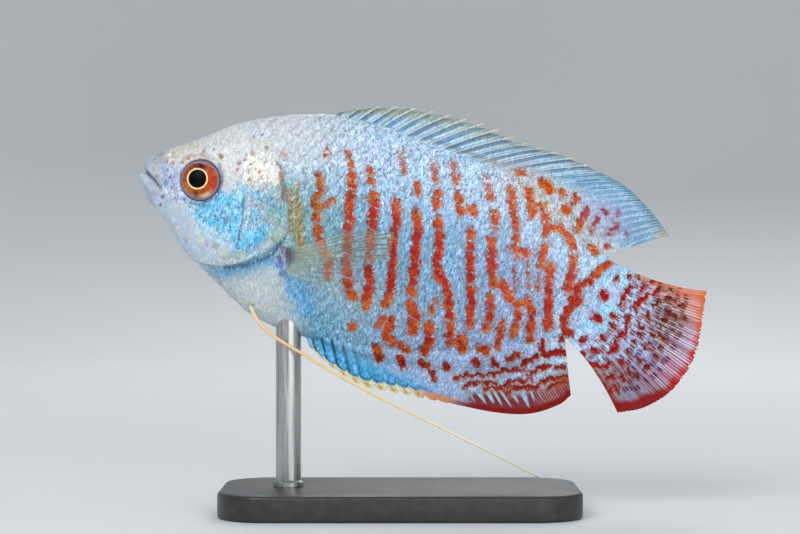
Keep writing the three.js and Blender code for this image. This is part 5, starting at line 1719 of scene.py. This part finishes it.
BASE = {"length": 50, "width": 28, "height": 3.6, "corner": 7, "bevel": 0.5}
ROD = {"x": -15.6, "radius": 0.95, "top": 30.3, "foot_radius": 2.1, "foot_height": 0.9, "gap": 0.3}


def bevel_edges(piece, wanted, width, segments):
    """Bevels the edges of a piece whose rise from end to end is wanted, besides its selected faces."""
    for edge in piece.data.edges:
        start, end = (piece.data.vertices[k].co for k in edge.vertices)
        edge.select = wanted(abs(start.z - end.z))
    bpy.ops.object.mode_set(mode="EDIT")
    bpy.ops.mesh.bevel(offset=width * MM, segments=segments)
    bpy.ops.object.mode_set(mode="OBJECT")


def select_nothing(kind):
    """Clears the selection of the active piece, and from then on selects one kind of element."""
    bpy.ops.object.mode_set(mode="EDIT")
    bpy.ops.mesh.select_all(action="DESELECT")
    bpy.ops.mesh.select_mode(type=kind)
    bpy.ops.object.mode_set(mode="OBJECT")


def make_stand():
    foot = BASE["height"] + ROD["gap"]
    bpy.ops.mesh.primitive_cube_add(size=1, location=(0, 0, BASE["height"] / 2 * MM),
                                    scale=(BASE["length"] * MM, BASE["width"] * MM, BASE["height"] * MM))
    base = shown("stand_plate")
    bpy.ops.object.transform_apply(location=True, rotation=True, scale=True)
    select_nothing("EDGE")
    bevel_edges(base, lambda rise: rise > MM, BASE["corner"], 16)
    bevel_edges(base, lambda rise: rise < MM / 10, BASE["bevel"], 4)
    bpy.ops.object.shade_smooth_by_angle(angle=math.radians(30))
    material, tree, shader = new_material("stand lacquer")
    where = object_place(tree)
    noise = noise_at(tree, where, 900.0).outputs["Fac"]
    smear = noise_at(tree, where, 60.0, 2.0).outputs["Fac"]
    colour = ramp(tree, noise, [(0.35, srgb(38, 36, 36)), (0.7, srgb(52, 49, 48))])
    painted(tree, shader, colour, ranged(tree, smear, 0.3, 0.7, 0.34, 0.48))
    bumped(tree, shader, noise, 0.15, 0.02)
    base.data.materials.append(material)
    finished(base, "stand_base", "stand_base")

    middle = (ROD["x"] * MM, 0, (foot - 0.25 + ROD["foot_height"] / 2) * MM)
    bpy.ops.mesh.primitive_cylinder_add(vertices=64, radius=ROD["foot_radius"] * MM,
                                        depth=ROD["foot_height"] * MM, location=middle)
    rod = shown("stand_post")
    bpy.ops.object.transform_apply(location=True, rotation=True, scale=True)
    select_nothing("FACE")
    for face in rod.data.polygons:
        face.select = face.normal.z > 0.9
    bpy.ops.object.mode_set(mode="EDIT")
    bpy.ops.mesh.bevel(offset=0.3 * MM, segments=3)
    bpy.ops.mesh.inset(thickness=0.55 * MM)
    bpy.ops.transform.resize(value=(0.76, 0.76, 1), center_override=(ROD["x"] * MM, 0, 0))
    rise = (ROD["top"] - foot - 0.65) * MM
    bpy.ops.mesh.extrude_region_move(TRANSFORM_OT_translate={"value": (0, 0, rise)})
    bpy.ops.object.mode_set(mode="OBJECT")
    bpy.ops.object.shade_smooth_by_angle(angle=math.radians(30))
    material, tree, shader = new_material("stand steel")
    brush = add(tree, "ShaderNodeMapping", (0, object_place(tree)), ("Scale", (3000, 3000, 120))).outputs[0]
    noise = noise_at(tree, brush, 1.0).outputs["Fac"]
    colour = ramp(tree, noise, [(0.3, srgb(150, 150, 149)), (0.7, srgb(196, 196, 194))])
    painted(tree, shader, colour, ranged(tree, noise, 0.3, 0.7, 0.22, 0.38))
    shader.inputs["Metallic"].default_value = 1.0
    bumped(tree, shader, noise, 0.1, 0.01)
    rod.data.materials.append(material)
    finished(rod, "stand_rod", "stand_rod")


make_camera()
make_backdrop()
make_light()

skin_look = fish_material("fish skin", 2.6, 0.9, 0.45, 1.4, dots=0.9)
scale_look = fish_material("pearly scales", 2.4, 1.0, 0.6, 2.2, coat=0.08, gloss=0.18)
fin_look = fish_material("fin membrane", 2.6, 0.9, 0.3, 1.5, roughness=0.48, coat=0.0, gloss=0.1)
make_skin(skin_look)
flank_map = FlankMap()
scale_corners, scale_faces = scale_plate()
scale_places = scale_centres(flank_map)
make_scales("scales_left", -1, flank_map, scale_places, scale_corners, scale_faces, scale_look)
make_scales("scales_right", 1, flank_map, scale_places, scale_corners, scale_faces, scale_look)
make_dorsal(fin_look)
make_anal(fin_look)
make_caudal(fin_look)
clear_fin = pectoral_material()
make_pectoral("pectoral_membrane_left", -1, "pectoral_fin_left", clear_fin)
make_pectoral("pectoral_membrane_right", 1, "pectoral_fin_right", clear_fin)
thread = feeler_material()
make_feeler("feeler_left", LEFT_FEELER, -1, "pelvic_feeler_left", thread)
make_feeler("feeler_right", RIGHT_FEELER, 1, "pelvic_feeler_right", thread)
eye_look = eye_material()
make_eye("eyeball_left", -1, "eye_left", eye_look)
make_eye("eyeball_right", 1, "eye_right", eye_look)
make_stand()
